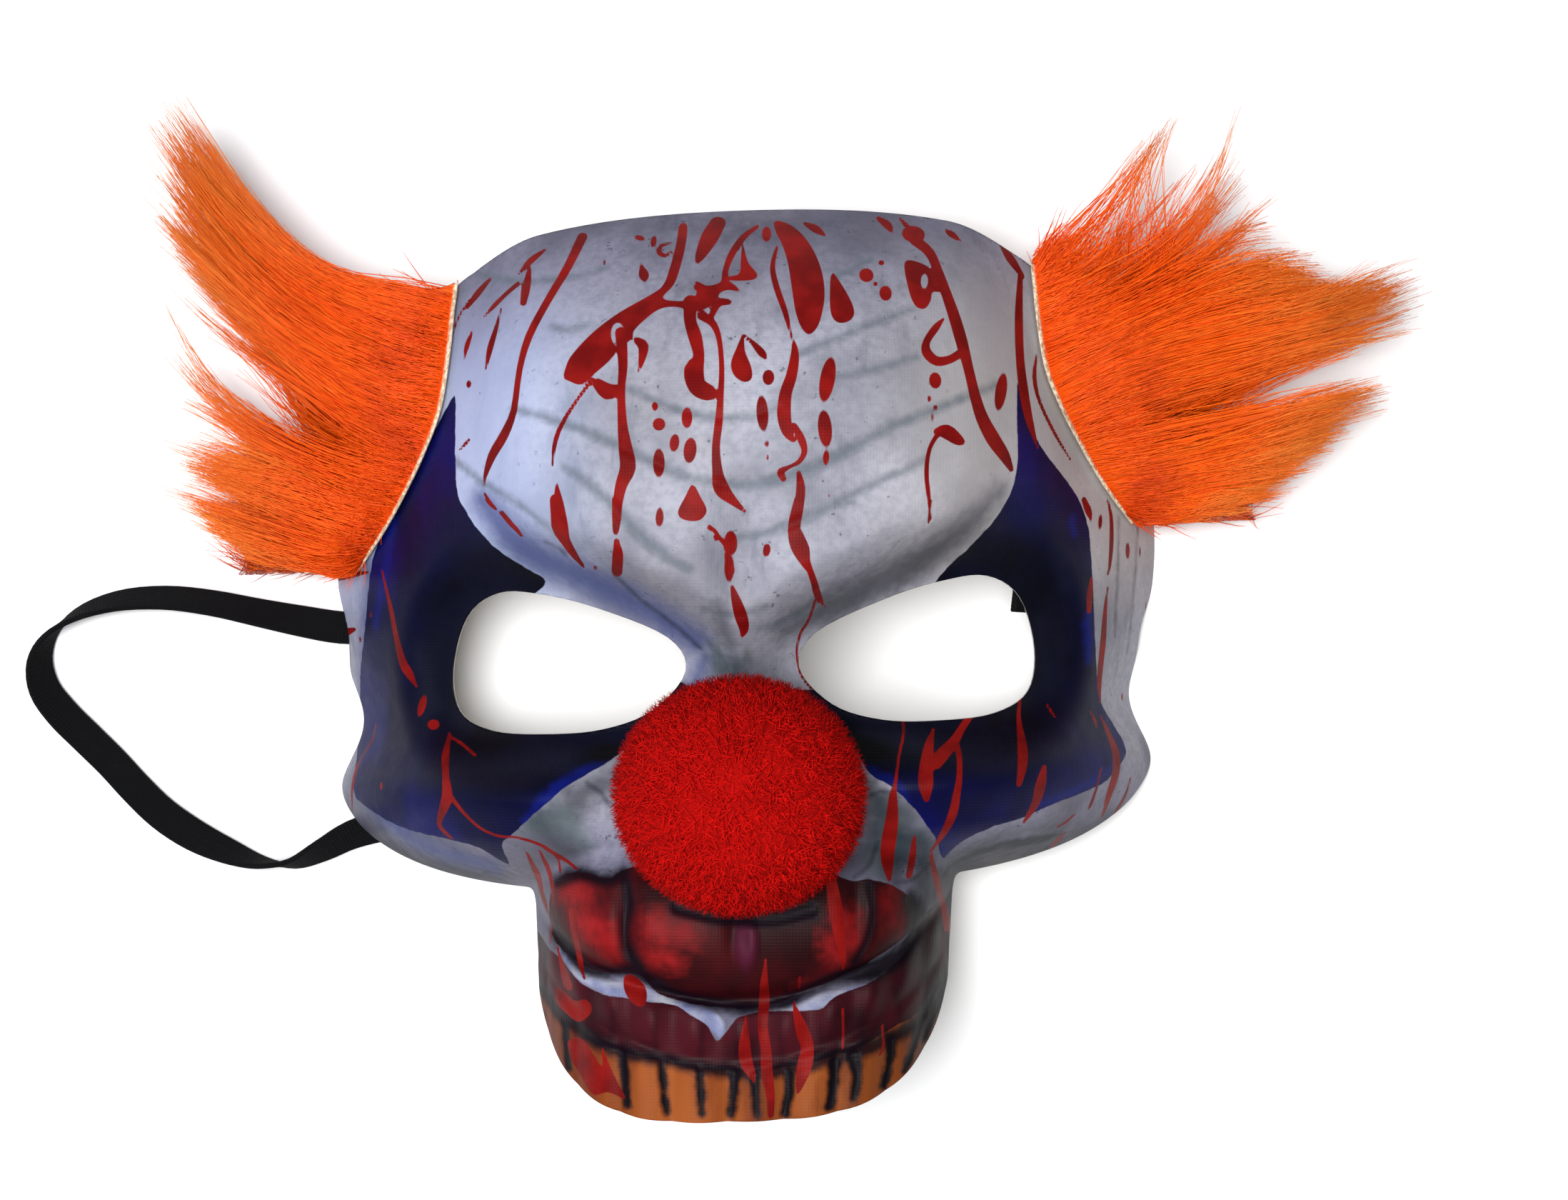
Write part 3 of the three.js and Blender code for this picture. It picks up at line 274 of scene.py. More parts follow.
# Print, charted in millimetres over the front view. Blood runs are lines of across, up and width.
BLOOD_STROKES = [
    [
        (-31.6, 82.3, 2.1), (-34, 75.7, 1.8), (-37.6, 68.5, 1.6), (-40.9, 61.5, 1.6), (-42.5, 55, 1.3),
        (-43.4, 47, 1.4), (-45.3, 42.4, 2), (-47.8, 38.6, 1.9), (-49.3, 34.7, 0.9), (-49.7, 32.9, 0.3),
    ],
    [(-49.5, 31.4, 0.5), (-48.4, 29.6, 0.8), (-47.2, 28.3, 0.5)],
    [(-45.9, 27.9, 0.5), (-43.8, 25.2, 0.9), (-42.3, 23.3, 0.2)],
    [(-38.9, 79.9, 0.6), (-41.7, 77.6, 1.5), (-43.9, 75, 0.5)],
    [(-41.8, 75.8, 0.8), (-42.2, 71.9, 1.9), (-42.5, 68.6, 1.4)],
    [(-44, 72.8, 1.1), (-46.8, 70.6, 1), (-48.9, 68.7, 1.1), (-50.9, 66.8, 0.4)],
    [(-50.3, 74.7, 0.8), (-52.9, 71.9, 1.6), (-55.1, 69.1, 0.7)],
    [(-54.7, 70.7, 0.3), (-56.8, 67.6, 0.6), (-58.2, 63.9, 0.4)],
    [(-47.3, 67.8, 0.3), (-48.1, 63.9, 1), (-49.2, 59.9, 1.4), (-49.9, 55.8, 0.4)],
    [(-53.5, 64, 0.5), (-54.5, 61.3, 1.2), (-55.1, 58.4, 0.3)],
    [(-53, 42.2, 0.5), (-54, 41.3, 0.8), (-55.3, 40.2, 0.3)],
    [
        (-22.7, 61.4, 2.3), (-22.1, 54.9, 1.8), (-22.3, 50.2, 1.5), (-22, 43.9, 1.8), (-21.4, 39.3, 2.6),
        (-20.9, 35.5, 3), (-22.1, 32.3, 2.3), (-22.8, 28.6, 1.8), (-23.1, 24.4, 1.4), (-23.2, 23.1, 0.6),
    ],
    [(-23.1, 21.8, 0.9), (-22.8, 19.5, 2), (-23.3, 16.4, 2.2)],
    [(-19.5, 59.7, 1.4), (-18.3, 58.5, 2), (-18.6, 55.6, 1.2), (-19.1, 53.6, 0.3)],
    [(-26.9, 51.5, 2), (-24.9, 49.9, 3.1), (-23.3, 50.2, 2)],
    [(-27.9, 52.3, 0.8), (-30.8, 48.4, 0.7), (-33.7, 43.8, 0.9), (-35, 40, 0.9), (-35.3, 36.2, 0.3)],
    [
        (-34.5, 32.6, 0.5), (-34.1, 28.8, 2.1), (-34, 25, 3.4), (-33, 21.9, 2), (-31.7, 19.3, 1.1),
        (-30.1, 17.2, 0.2),
    ],
    [
        (-9.6, 67.4, 2.8), (-9.6, 63.6, 2.3), (-8.6, 60.3, 2.6), (-7.8, 56.3, 2.1), (-8.7, 53.7, 3.7),
        (-8.1, 50.7, 3.4), (-6.2, 49.5, 3.2), (-4.5, 49, 0.9),
    ],
    [
        (-7.3, 64.5, 1.9), (-5.2, 62.8, 1.4), (-4, 59.5, 1), (-3.5, 53.9, 1), (-3.7, 48.4, 1.2),
        (-4, 43.8, 1.5), (-4.5, 39.2, 1.5), (-4.2, 34.6, 2), (-3.5, 31.6, 2.9), (-1.6, 29.5, 1.8),
        (0.9, 27.3, 0.5),
    ],
    [(-2.4, 67.3, 1.2), (-4.4, 67.1, 1.7), (-5.5, 64.6, 1.1), (-5.8, 63.3, 0.8)],
    [
        (2.9, 83.9, 0.8), (0.2, 81.4, 1.3), (-2, 77.5, 1.4), (-3.1, 73.9, 1.1), (-3.3, 71.1, 1.6),
        (-5.7, 70.2, 1.2), (-8.7, 70.4, 0.9),
    ],
    [(-4.9, 84.7, 3.2), (-6.4, 81.3, 3.5), (-7.9, 77.6, 2.2), (-8.6, 75.8, 0.8)],
    [(-14, 80.2, 0.6), (-15.7, 79.7, 0.8), (-16.1, 78.2, 1), (-14.8, 77.4, 0.8), (-13.8, 78.4, 0.5)],
    [(-19.5, 75.8, 0.3), (-19.2, 74.6, 1.1), (-18.8, 73.3, 2), (-18.6, 72.2, 0.9)],
    [(12.2, 84.6, 0.8), (14.3, 83.3, 1.8), (16.1, 81.8, 0.4)],
    [
        (6.7, 79.1, 0.6), (5.9, 74.7, 1), (6.7, 70.3, 1.2), (8.3, 65.3, 1.1), (9.2, 61.5, 0.6),
        (9.6, 60.1, 0.3), (10.1, 58, 1.2), (10, 55.5, 1.8), (9.4, 52.3, 2.1), (8.4, 49.2, 2.3),
        (8.1, 45.3, 2.6), (8.7, 42.2, 2.1), (9.8, 40.4, 0.8),
    ],
    [
        (10, 43.2, 1.1), (11.3, 40.7, 1.5), (11.9, 38.4, 1.1), (10.9, 36.5, 0.9), (9, 35.5, 0.7),
        (7.5, 34.6, 1.4), (8, 33.3, 1.1),
    ],
    [
        (10.8, 34.6, 0.8), (11.2, 31.6, 1.7), (10.8, 27.8, 1.8), (10, 24, 2.3), (10.7, 21, 2.9),
        (11.9, 18.3, 2.1), (12.9, 16.2, 0.9),
    ],
    [(0.5, 60.7, 0.4), (2.2, 59.1, 0.9), (3.9, 57.1, 1.5), (4.7, 56, 0.6)],
    [
        (33.8, 81.3, 2.4), (36.5, 78.7, 2.1), (38, 74.8, 1.9), (39.3, 70.5, 2.1), (40.8, 65.5, 2.4),
        (42.1, 60.6, 2.5), (43.4, 55, 2.1), (44.7, 49.5, 2.3), (46, 45.6, 2.7), (48.2, 41.8, 3.1),
        (50.5, 38.8, 2.5), (52.1, 36.2, 1.1),
    ],
    [(26.7, 86.1, 1), (28.4, 84.6, 1.8), (29.3, 82.8, 0.4)],
    [(31, 86.2, 0.6), (32.2, 84.6, 1.1)],
    [(40, 84, 0.6), (41.3, 83, 1.5), (43, 81.7, 0.4)],
    [
        (38.6, 64.7, 0.5), (37.1, 62.9, 1.4), (35.2, 60, 1.4), (35.2, 57.8, 2), (37.1, 56.2, 1.9),
        (39.7, 56.7, 1.6), (41.3, 57.7, 1.6),
    ],
    [(36.8, 42.6, 1.2), (38.8, 42.6, 2.8), (40.8, 41.3, 2.3), (41.8, 40.8, 1.2)],
    [(37, 42.1, 0.9), (35.4, 39.2, 0.8), (34.8, 34.9, 0.9), (35.2, 30.3, 0.8), (35.7, 26.2, 0.3)],
    [(51.5, 82.1, 0.7), (53.4, 79.3, 2), (55.9, 75.7, 1)],
    [
        (55.4, 75.9, 1.1), (54.6, 67.1, 1.8), (54.5, 58.7, 1.9), (55.1, 52.1, 2.1), (56.1, 46.5, 1.8),
        (58, 40.8, 0.4),
    ],
    [(58.3, 59.6, 0.4), (57.6, 54.9, 1), (58.7, 49.9, 0.8), (62.2, 43.8, 0.8), (65.9, 39, 0.5)],
    [(-5.8, 24.6, 0.6), (-4.6, 23.6, 0.8)],
    [(-4.1, 22.7, 0.8), (-3.4, 21.8, 0.8)],
    [(-2.4, 19.2, 1.2), (-1.9, 16.4, 1.7)],
    [(-49.1, 30.1, 0.7), (-47.9, 29, 0.9), (-47.2, 28.4, 0.2)],
    [(-46.4, 27.8, 0.5), (-44.4, 25.7, 0.9), (-43, 24.4, 0.9), (-42, 23.2, 0.2)],
    [
        (-34.6, 29.6, 2.4), (-34.5, 26, 2.2), (-33.9, 23.7, 2.6), (-32.8, 21.9, 1.7), (-31.4, 19.8, 0.8),
        (-30, 17.4, 0.2),
    ],
    [(-23, 29.5, 1.8), (-23, 25.9, 1.7), (-23.3, 23.4, 0.6)],
    [(-22.9, 21.9, 0.9), (-23, 18.8, 2), (-23.3, 17, 1.6), (-23.5, 16, 0.6)],
    [(-1.6, 13.5, 0.6), (-0.9, 11.1, 1.7), (0, 8.1, 2.4), (0.6, 5.7, 1.9), (0.2, 4.1, 0.6)],
    [
        (-74.6, 17, 0.4), (-72.4, 9.8, 1), (-70.9, 3.3, 1.3), (-69.5, -1.8, 1.8), (-68.1, -4.1, 1.8),
        (-66.6, -6.7, 0.3),
    ],
    [(-78.2, -15.3, 0.4), (-78.8, -18.5, 0.7), (-81.6, -22.7, 0.5), (-82.8, -26, 0.9), (-83.8, -34.1, 0.5)],
    [
        (-59.1, -15.9, 0.5), (-59.1, -19.9, 1.6), (-58.2, -23.8, 1.5), (-57.6, -27.4, 2.4),
        (-59.3, -31.4, 1.5), (-59.9, -33.5, 0.9), (-58.6, -35.1, 0.9), (-57.2, -36.1, 0.4),
    ],
    [(-59.1, -16.4, 0.4), (-56.1, -17.7, 0.6), (-52.7, -19.7, 0.3)],
    [
        (-56.8, -27.3, 1), (-53.9, -30.6, 0.7), (-50.7, -33.4, 0.6), (-46.8, -34.8, 0.6),
        (-42.9, -34.9, 0.6), (-38.6, -36.2, 0.7), (-35.7, -38.4, 0.9), (-31.8, -40.7, 0.5),
    ],
    [(-88.4, 5.5, 0.8), (-87.4, 3.3, 3.2), (-86.6, 1.2, 1.2)],
    [(-85.7, 4, 1.9), (-82.8, 4.7, 0.8)],
    [(-78.4, 16.7, 0.5), (-83.4, 16.2, 1.3), (-88.2, 15.3, 0.8)],
    [(-80.5, -40.5, 0.3), (-79.6, -42.6, 0.4), (-78.1, -43.8, 0.3)],
    [
        (10.6, 29.4, 1.3), (9.8, 25.4, 1.7), (10.3, 22.8, 2.8), (11.6, 20.3, 2.5), (12.4, 17.8, 1.3),
        (13.7, 14.3, 1.3), (14.5, 11.7, 1.4), (15.8, 9.7, 0.3),
    ],
    [
        (14, 10.7, 0.6), (12.8, 7, 0.3), (11.2, 4.4, 0.3), (10.6, 0.6, 0.3), (11.4, -3.6, 0.3),
        (13.5, -6.4, 0.2),
    ],
    [(35.6, 29.6, 0.6), (35.5, 27.6, 0.4), (35.4, 25.5, 0.2)],
    [
        (31, -11, 0.6), (31.3, -14.7, 0.5), (30.1, -19.1, 0.5), (29.2, -24, 0.7), (28.8, -26.1, 1.5),
        (28.7, -30.4, 2.4), (28.2, -34.8, 2.9), (27.8, -38.7, 2.5), (28.1, -42.4, 0.5),
    ],
    [(33.1, -34.4, 0.6), (33, -37.8, 1.4), (32, -41.6, 1.4)],
    [(37.2, -14.2, 0.3), (36.1, -17.2, 1.8), (35.2, -21.1, 2.6), (35, -24.1, 2.8), (35.2, -27, 1.1)],
    [(45.3, -11.2, 1.3), (43.1, -13.9, 1.4), (41.2, -16.4, 1.8), (39.1, -18.3, 2.3), (37.1, -20.1, 2.5)],
    [
        (41.3, -16.4, 1.2), (41.8, -18.8, 1.1), (41.6, -22.2, 1.1), (41, -26.3, 1.5), (40.4, -30.1, 1.8),
        (38.8, -34, 1.3), (36.6, -38.1, 0.4),
    ],
    [(36.8, -38.2, 0.3), (37.4, -42.1, 1.2), (38.7, -46.4, 1.3), (40.1, -51, 1.4), (40.7, -54.9, 1.3)],
    [(55.5, -8.6, 0.7), (54.9, -12.7, 0.9), (54.9, -16.8, 1.8), (54.6, -20.2, 2.1), (53.6, -24.7, 1.2)],
    [(59, -21.8, 1), (58.3, -25.1, 2.3), (57.4, -29, 1.8), (55.2, -32.8, 0.6)],
    [(61.2, -10.2, 0.2), (61.9, -11.5, 0.7), (62.7, -12.8, 0.2)],
    [(71, -12.1, 0.3), (72, -14, 0.8), (72.3, -15.2, 0.3)],
    [
        (73.5, -12.9, 0.4), (75.3, -17, 1.2), (76.6, -20.9, 1.9), (76.4, -24.8, 2.1), (75.1, -29.3, 1.7),
        (74.2, -34.2, 0.5),
    ],
    [(72.5, -23.1, 0.2), (71.6, -27, 0.6), (70.6, -30.5, 0.8), (70.1, -31.8, 0.3)],
    [(80.7, -26.5, 0.3), (79.8, -30.1, 0.8), (78.2, -33, 0.9), (77.4, -34.9, 0.3)],
    [(66.6, -32.5, 0.4), (64.9, -34, 0.7), (63.2, -34.8, 0.2)],
    [(65.6, -36.5, 0.4), (64.1, -38.3, 1.1), (63.2, -40.9, 0.4)],
    [(69, 31.2, 1.3), (70, 29, 1.7), (70.7, 27, 0.4)],
    [(74.9, 31.5, 0.6), (75.7, 28.2, 0.9), (75.7, 23.1, 1.1), (75.2, 18, 0.8), (74.7, 16.2, 0.2)],
    [
        (74.7, 13.6, 0.3), (74.2, 9, 1), (73.9, 3.4, 1.5), (73.5, -2.3, 1.5), (73.4, -6.9, 1.2),
        (73.8, -10.3, 0.3),
    ],
    [(70.6, 15.3, 0.7), (70.2, 11.8, 1.4), (70.1, 8.6, 1)],
    [(-32.4, -48.6, 1.5), (-31.8, -53.2, 1.5), (-31.1, -57.8, 1.2), (-29.9, -61.2, 0.3)],
    [(-36.1, -56.6, 0.2), (-34.9, -59.8, 1.2), (-33.6, -63, 2.5)],
    [
        (4.7, -56.3, 0.2), (4.4, -60.5, 1.4), (4.4, -64.5, 2), (4.1, -69, 1.9), (4.7, -73.8, 2),
        (4.9, -77.9, 2.2), (5.6, -82.1, 1.6), (5.6, -85.8, 1.2),
    ],
    [(1, -67.3, 0.3), (0.7, -71.8, 2), (0.9, -75.7, 2.4), (1.9, -77.8, 1.7), (2.6, -79.7, 0.3)],
    [
        (10, -64.8, 0.3), (10.4, -66.5, 1.2), (11.6, -70.2, 2.5), (12.5, -73.3, 2.4), (11.9, -76.7, 2.8),
        (11, -80.3, 1.3), (10.7, -81.6, 0.3),
    ],
    [(11, -59.8, 0.2), (10.9, -62.1, 0.4)],
    [(17, -42, 2), (17.6, -46, 2.6), (18.4, -50.8, 2.3), (19.1, -55.7, 1.4), (19.3, -58.6, 0.3)],
    [(36.7, -38.9, 0.7), (38.3, -45, 1.6), (40.2, -51.2, 1.3), (41.7, -56.3, 0.4)],
    [(19.1, -65.9, 0.2), (19.3, -70.4, 0.3), (19.1, -73.4, 0.2)],
    [(-41.7, -37.9, 0.5), (-40.9, -42, 1.3), (-40.4, -46.6, 1.7), (-39.1, -48.9, 1.4), (-38.3, -50.7, 0.4)],
    [(-39, -37.4, 0.5), (-38, -41.7, 1.1), (-37, -45.2, 0.9), (-36.7, -48.3, 0.3)],
    [(-38, -36.7, 0.7), (-35.1, -38.7, 0.9), (-31.6, -40.8, 0.4)],
    [(-35.9, -37.9, 0.5), (-35.2, -42, 0.2)],
    [(-37.8, -52.8, 0.5), (-37.8, -56.6, 0.4)],
    [(26.7, -69.6, 0.3), (27, -73.4, 0.6), (26.3, -75.1, 0.3)],
]
# Blood drops: middle across and up, half width, half height, tilt in degrees
BLOOD_DROPS = [
    (-53.7, 53.2, 0.6, 0.8, 0),
    (-51.1, 51, 0.2, 0.3, 0),
    (-20.1, 81.6, 1.1, 0.6, 20),
    (-17.3, 80.7, 0.6, 1.4, 5),
    (-26.7, 76.3, 0.3, 0.6, 0),
    (4.7, 82.1, 0.9, 1.8, 0),
    (16.2, 52, 1.4, 4.4, 10),
    (15.7, 42.7, 1.3, 3.5, -5),
    (15.9, 37.3, 0.6, 1.5, 3),
    (16.4, 30.3, 0.3, 0.3, 0),
    (23.9, 73.2, 1.4, 1.5, 0),
    (26.9, 76, 0.6, 0.6, 0),
    (25.6, 71.4, 0.5, 0.5, 0),
    (27.5, 69.5, 1.2, 1.6, 0),
    (5.2, 52.3, 1.1, 1.5, 0),
    (4.1, 45.5, 1.1, 3.4, -4),
    (4.9, 39.8, 0.4, 0.7, 0),
    (5, 37.3, 0.3, 0.6, 0),
    (4.9, 20.3, 0.6, 1.1, 0),
    (-15.9, 46.9, 0.6, 0.9, 0),
    (-15.1, 43.5, 1.2, 1.2, 0),
    (-9.9, 44.7, 1, 2, 0),
    (-12.2, 40, 0.9, 1.7, 8),
    (-9.3, 38.6, 1.2, 2.4, 6),
    (-15.1, 36.3, 1.1, 2.7, 0),
    (-14.9, 26.3, 0.7, 1.8, 0),
    (-1.8, 21.6, 1.2, 2.2, 0),
    (33.5, 82.7, 2.3, 1.9, 0),
    (36.7, 52.4, 1.2, 1.6, 0),
    (35.5, 48.8, 0.4, 0.7, 0),
    (36.7, 47.2, 0.4, 0.6, 0),
    (36.1, 45.3, 0.3, 1.1, 0),
    (50.1, 51.2, 1.2, 3.9, 12),
    (-27.6, 17, 0.4, 0.5, 0),
    (-15, 26.2, 0.7, 1.7, 6),
    (-1.9, 21.2, 1.3, 2, 0),
    (-2.1, 16.9, 0.9, 2.7, 0),
    (-5.8, 24.3, 0.4, 0.6, 0),
    (-4.4, 22.6, 0.6, 0.8, 20),
    (4.9, 20.2, 0.7, 1.2, 0),
    (-65.5, -10.6, 0.8, 2.3, 16),
    (-62.8, -14.3, 1.3, 1, 0),
    (-74.2, -27.1, 0.4, 0.8, 0),
    (-86.4, -5.7, 0.8, 2.9, 8),
    (-81.2, 2.6, 0.4, 0.7, 0),
    (-77.8, 7.8, 0.3, 0.8, 0),
    (4.9, 20.1, 0.7, 1.2, 12),
    (80, 21.2, 0.6, 1.8, 0),
    (72.9, 26.9, 0.5, 1.7, 6),
    (83.5, 21.1, 0.3, 1.2, 0),
    (80.1, -9.7, 0.3, 0.9, 0),
    (85.7, 9.5, 0.2, 1.4, 0),
    (85.9, 14.2, 0.2, 1.2, 0),
    (-20, -62.6, 1.9, 3.2, -30),
]
# Blood spills: outlines with rounded corners, and the bare spots in them
BLOOD_SPILLS = [
    [
        (-33.5, 52.9), (-33.2, 54.9), (-32.1, 57.3), (-28.2, 61.6), (-23.2, 65.5), (-17.5, 68.9),
        (-15, 71), (-13.8, 74.9), (-12.8, 80.4), (-12.4, 84.4), (-10.9, 84.4), (-11, 79.5), (-12, 74),
        (-13, 70.9), (-14.9, 68.1), (-9.6, 67.7), (-8.5, 69.6), (-8.8, 71.8), (-5.7, 70.4), (-2.2, 71.4),
        (-0.3, 69.5), (-2.4, 69.8), (-4, 69.2), (-4.9, 67.5), (-7.6, 65.6), (-12.7, 66.4), (-15.8, 65.8),
        (-18.8, 63.3), (-20.3, 61.5), (-20.5, 60.1), (-22.6, 58.6), (-24.8, 55.8), (-27.9, 53.1),
        (-30.1, 51.4), (-32.3, 52.1),
    ],
    [(0, 80.3), (1.2, 75.8), (3, 73.1), (2, 71.9), (-1.9, 71.8), (-2.7, 72.6), (-0.5, 73.3), (-0.2, 76.6)],
    [
        (6.3, 85.2), (9.1, 84.4), (11.9, 81.7), (14.2, 77.5), (15.5, 73), (15.8, 68.3), (14.9, 63.5),
        (13.7, 61.3), (12.5, 60.8), (11.2, 62.4), (10.2, 65.7), (9.5, 70.8), (8.8, 75.7), (7.7, 79.8),
        (6.5, 82.6),
    ],
    [
        (17.3, 73.6), (19.2, 70.9), (20.9, 67.5), (21.4, 65), (20.3, 63.5), (18.3, 63.2), (17, 64.9),
        (16.8, 69.2),
    ],
    [
        (-8.8, 32.3), (-7.3, 29.9), (-6.2, 27.5), (-7.3, 25.8), (-9.2, 25.5), (-11.1, 26.1),
        (-11.5, 27.4), (-10.3, 29.8),
    ],
    [(0.5, 60.9), (-0.8, 58), (-1.8, 55.1), (-1.2, 52.7), (0.7, 51.4), (2.1, 52.1), (2, 54.3), (0.8, 57.5)],
    [
        (31.5, 76.4), (34.9, 76.2), (37.5, 74), (38.8, 70.5), (36.7, 70.2), (36.3, 68.4), (35, 66.6),
        (33.2, 67.2), (32, 70.5),
    ],
    [
        (-36.6, -66.2), (-36, -64.4), (-33.8, -65.1), (-31.9, -65.9), (-29.9, -65.1), (-28.6, -66.1),
        (-28.6, -67.5), (-30, -69.1), (-31.7, -69.8), (-34.1, -68.6), (-36.1, -67.6),
    ],
    [
        (-33.6, -74.6), (-32.9, -73.5), (-31.3, -72.9), (-29.7, -73.2), (-27.6, -75.7), (-26.2, -77.3),
        (-26.3, -73.6), (-24.7, -77.2), (-23.3, -80.2), (-21.8, -83.2), (-25.1, -82), (-28.1, -82.8),
        (-30.6, -80), (-32.7, -77.4),
    ],
]
SPILL_HOLES = [
    (-23.2, 61, 1.4, 2.4, -8),
    (35.2, 72.4, 0.7, 1.6, 5),
]
# Outlines of the navy eye sockets, the upper lip and the gum
NAVY = [
    [
        (-72, 33), (-74.2, 26), (-77.4, 18.6), (-79.6, 5.2), (-82.1, -5.8), (-83.8, -15.6),
        (-82.9, -25.4), (-82.4, -30.2), (-78.9, -32.1), (-73.2, -34.1), (-66.3, -35.6), (-58.1, -36.3),
        (-51.3, -37.7), (-46.1, -41.1), (-46.6, -36.6), (-44.2, -34.2), (-40.7, -30.9), (-38, -28.6),
        (-33.8, -24.9), (-29.7, -22.5), (-25.6, -20.1), (-22.1, -17.7), (-14.1, -12.8), (-10.5, -6.7),
        (-14.2, -4.3), (-26.1, -4.4), (-38.8, 4.3), (-42.8, 9.9), (-38.4, 14.4), (-42.4, 17.2),
        (-47.3, 20.4), (-51.5, 24.8), (-54.1, 28.5), (-55.7, 31.7), (-56.3, 38.8), (-56.6, 49.8), (-57.6, 50.6),
        (-62, 44), (-67, 39),
    ],
    [
        (53.9, 54), (55.8, 47.5), (58.5, 41.4), (63.2, 36.4), (67.4, 31.7), (69.9, 25.7), (70.5, 20.1), (71, 12.9),
        (71.7, 3.4), (72.6, -4.5), (73.9, -10.3), (76.8, -15), (79.1, -18.8), (79.3, -21.5),
        (76.4, -23.9), (73.6, -26.2), (66.9, -28.1), (59.6, -30), (54.9, -31.8), (49.3, -33),
        (43.9, -35.3), (40.9, -37.9), (39.4, -40), (37.3, -35.1), (35, -31.6), (32.8, -28.7),
        (30.4, -26.2), (27.8, -24.1), (24.4, -22.1), (21.9, -18.6), (17.3, -14.6), (12, -9.9),
        (9.4, -6.7), (14.7, -6.3), (23.7, -3.7), (33.4, 3.7), (34.5, 10.1), (36.4, 12.8), (39.9, 17.1),
        (44.1, 21), (48.1, 25.4), (51.4, 30.3), (53.3, 36), (53.5, 45),
    ],
]
LIP = [
    [
        (-36.9, -46.4), (-34.4, -42.8), (-30.3, -41.7), (-25, -42.2), (-21.5, -40.5), (-10.6, -37.9),
        (8.1, -37.2), (20, -42.2), (24.2, -42.2), (28.5, -43.6), (32.3, -46.6), (34.4, -49.6),
        (32.5, -52), (26.8, -55.5), (20.6, -58.9), (13.5, -61.8), (6.2, -64.7), (-1, -65.5),
        (-9.4, -64.6), (-15.5, -62.8), (-19, -59.1), (-25.9, -59.3), (-31, -58.1), (-37.1, -54.5),
    ],
]
GUM = [
    [
        (-45, -56.2), (-38.4, -57.9), (-34.6, -59.7), (-29, -63.4), (-21.4, -64.7), (-13, -65.7),
        (-9.7, -67.4), (-7, -69), (-4.5, -72.5), (-1.5, -69.4), (0.2, -67.7), (6.8, -66.7),
        (14.5, -66.6), (17.6, -64.3), (23, -62.3), (28, -59.9), (32.5, -56.1), (36.2, -50.3),
        (39.4, -50.2), (42.6, -61.8), (41.4, -64), (35.9, -67.5), (29.8, -69.4), (22.3, -72.7),
        (16.4, -74.7), (8.6, -76.4), (-0.3, -77.3), (-9.3, -76.4), (-16.6, -74.9), (-23.3, -73.6),
        (-28.9, -72.3), (-34.5, -68.4), (-42.7, -66.2), (-47.7, -64.4),
    ],
]
# The teeth below the gum, the nostrils and the lobe under the nose
TEETH = [
    [
        (-42.5, -57), (-42, -60.4), (-38, -66.6), (-32.9, -70), (-27, -71.6), (-19.7, -73.1), (-11.9, -74.5),
        (-2.1, -75.4), (7.3, -74.6), (15.2, -73.1), (21.3, -71.1), (28.3, -67.4), (33.6, -63.4), (37.8, -57.2),
        (38.6, -54.2), (52, -54), (52, -104), (-56, -104), (-56, -57),
    ],
]
NOSTRILS = [(-26.5, -18.6, 3.6, 1.8, -10), (24.6, -17.8, 3.8, 1.8, 12)]
PHILTRUM = [(1, -53, 2.1, 5.2, 0)]
# Grey shading under the brows and cheeks, and blue-grey shading of the left side
SHADE = [
    [(50, 32, 2.5), (42, 24, 5), (30, 16, 7), (18, 10, 7), (8, 5, 4)],
    [(-4, 9, 2), (-2, 2, 3), (0, -6, 4)],
    [(-38, -33, 5), (-33, -38, 6)],
    [(-22, -22, 4), (-32, -27, 6)],
    [(30, -30, 7), (28, -38, 7)],
]
CHEEK_SHADE = [
    [(-80, -39, 5), (-66, -44, 7), (-52, -46, 8)],
    [(78, -36, 5), (64, -42, 9), (50, -44, 10), (38, -47, 7)],
]
LILAC = [
    [(-50, 30, 5), (-42, 21, 7), (-30, 15, 6), (-18, 9, 6), (-9, 3, 5)],
    [(-7, 0, 3), (-10, -8, 3)],
    [(-78, -30, 4), (-66, -38, 3), (-50, -42, 3)],
    [(-78, 18, 3), (-80, 0, 3), (-82, -14, 2)],
]
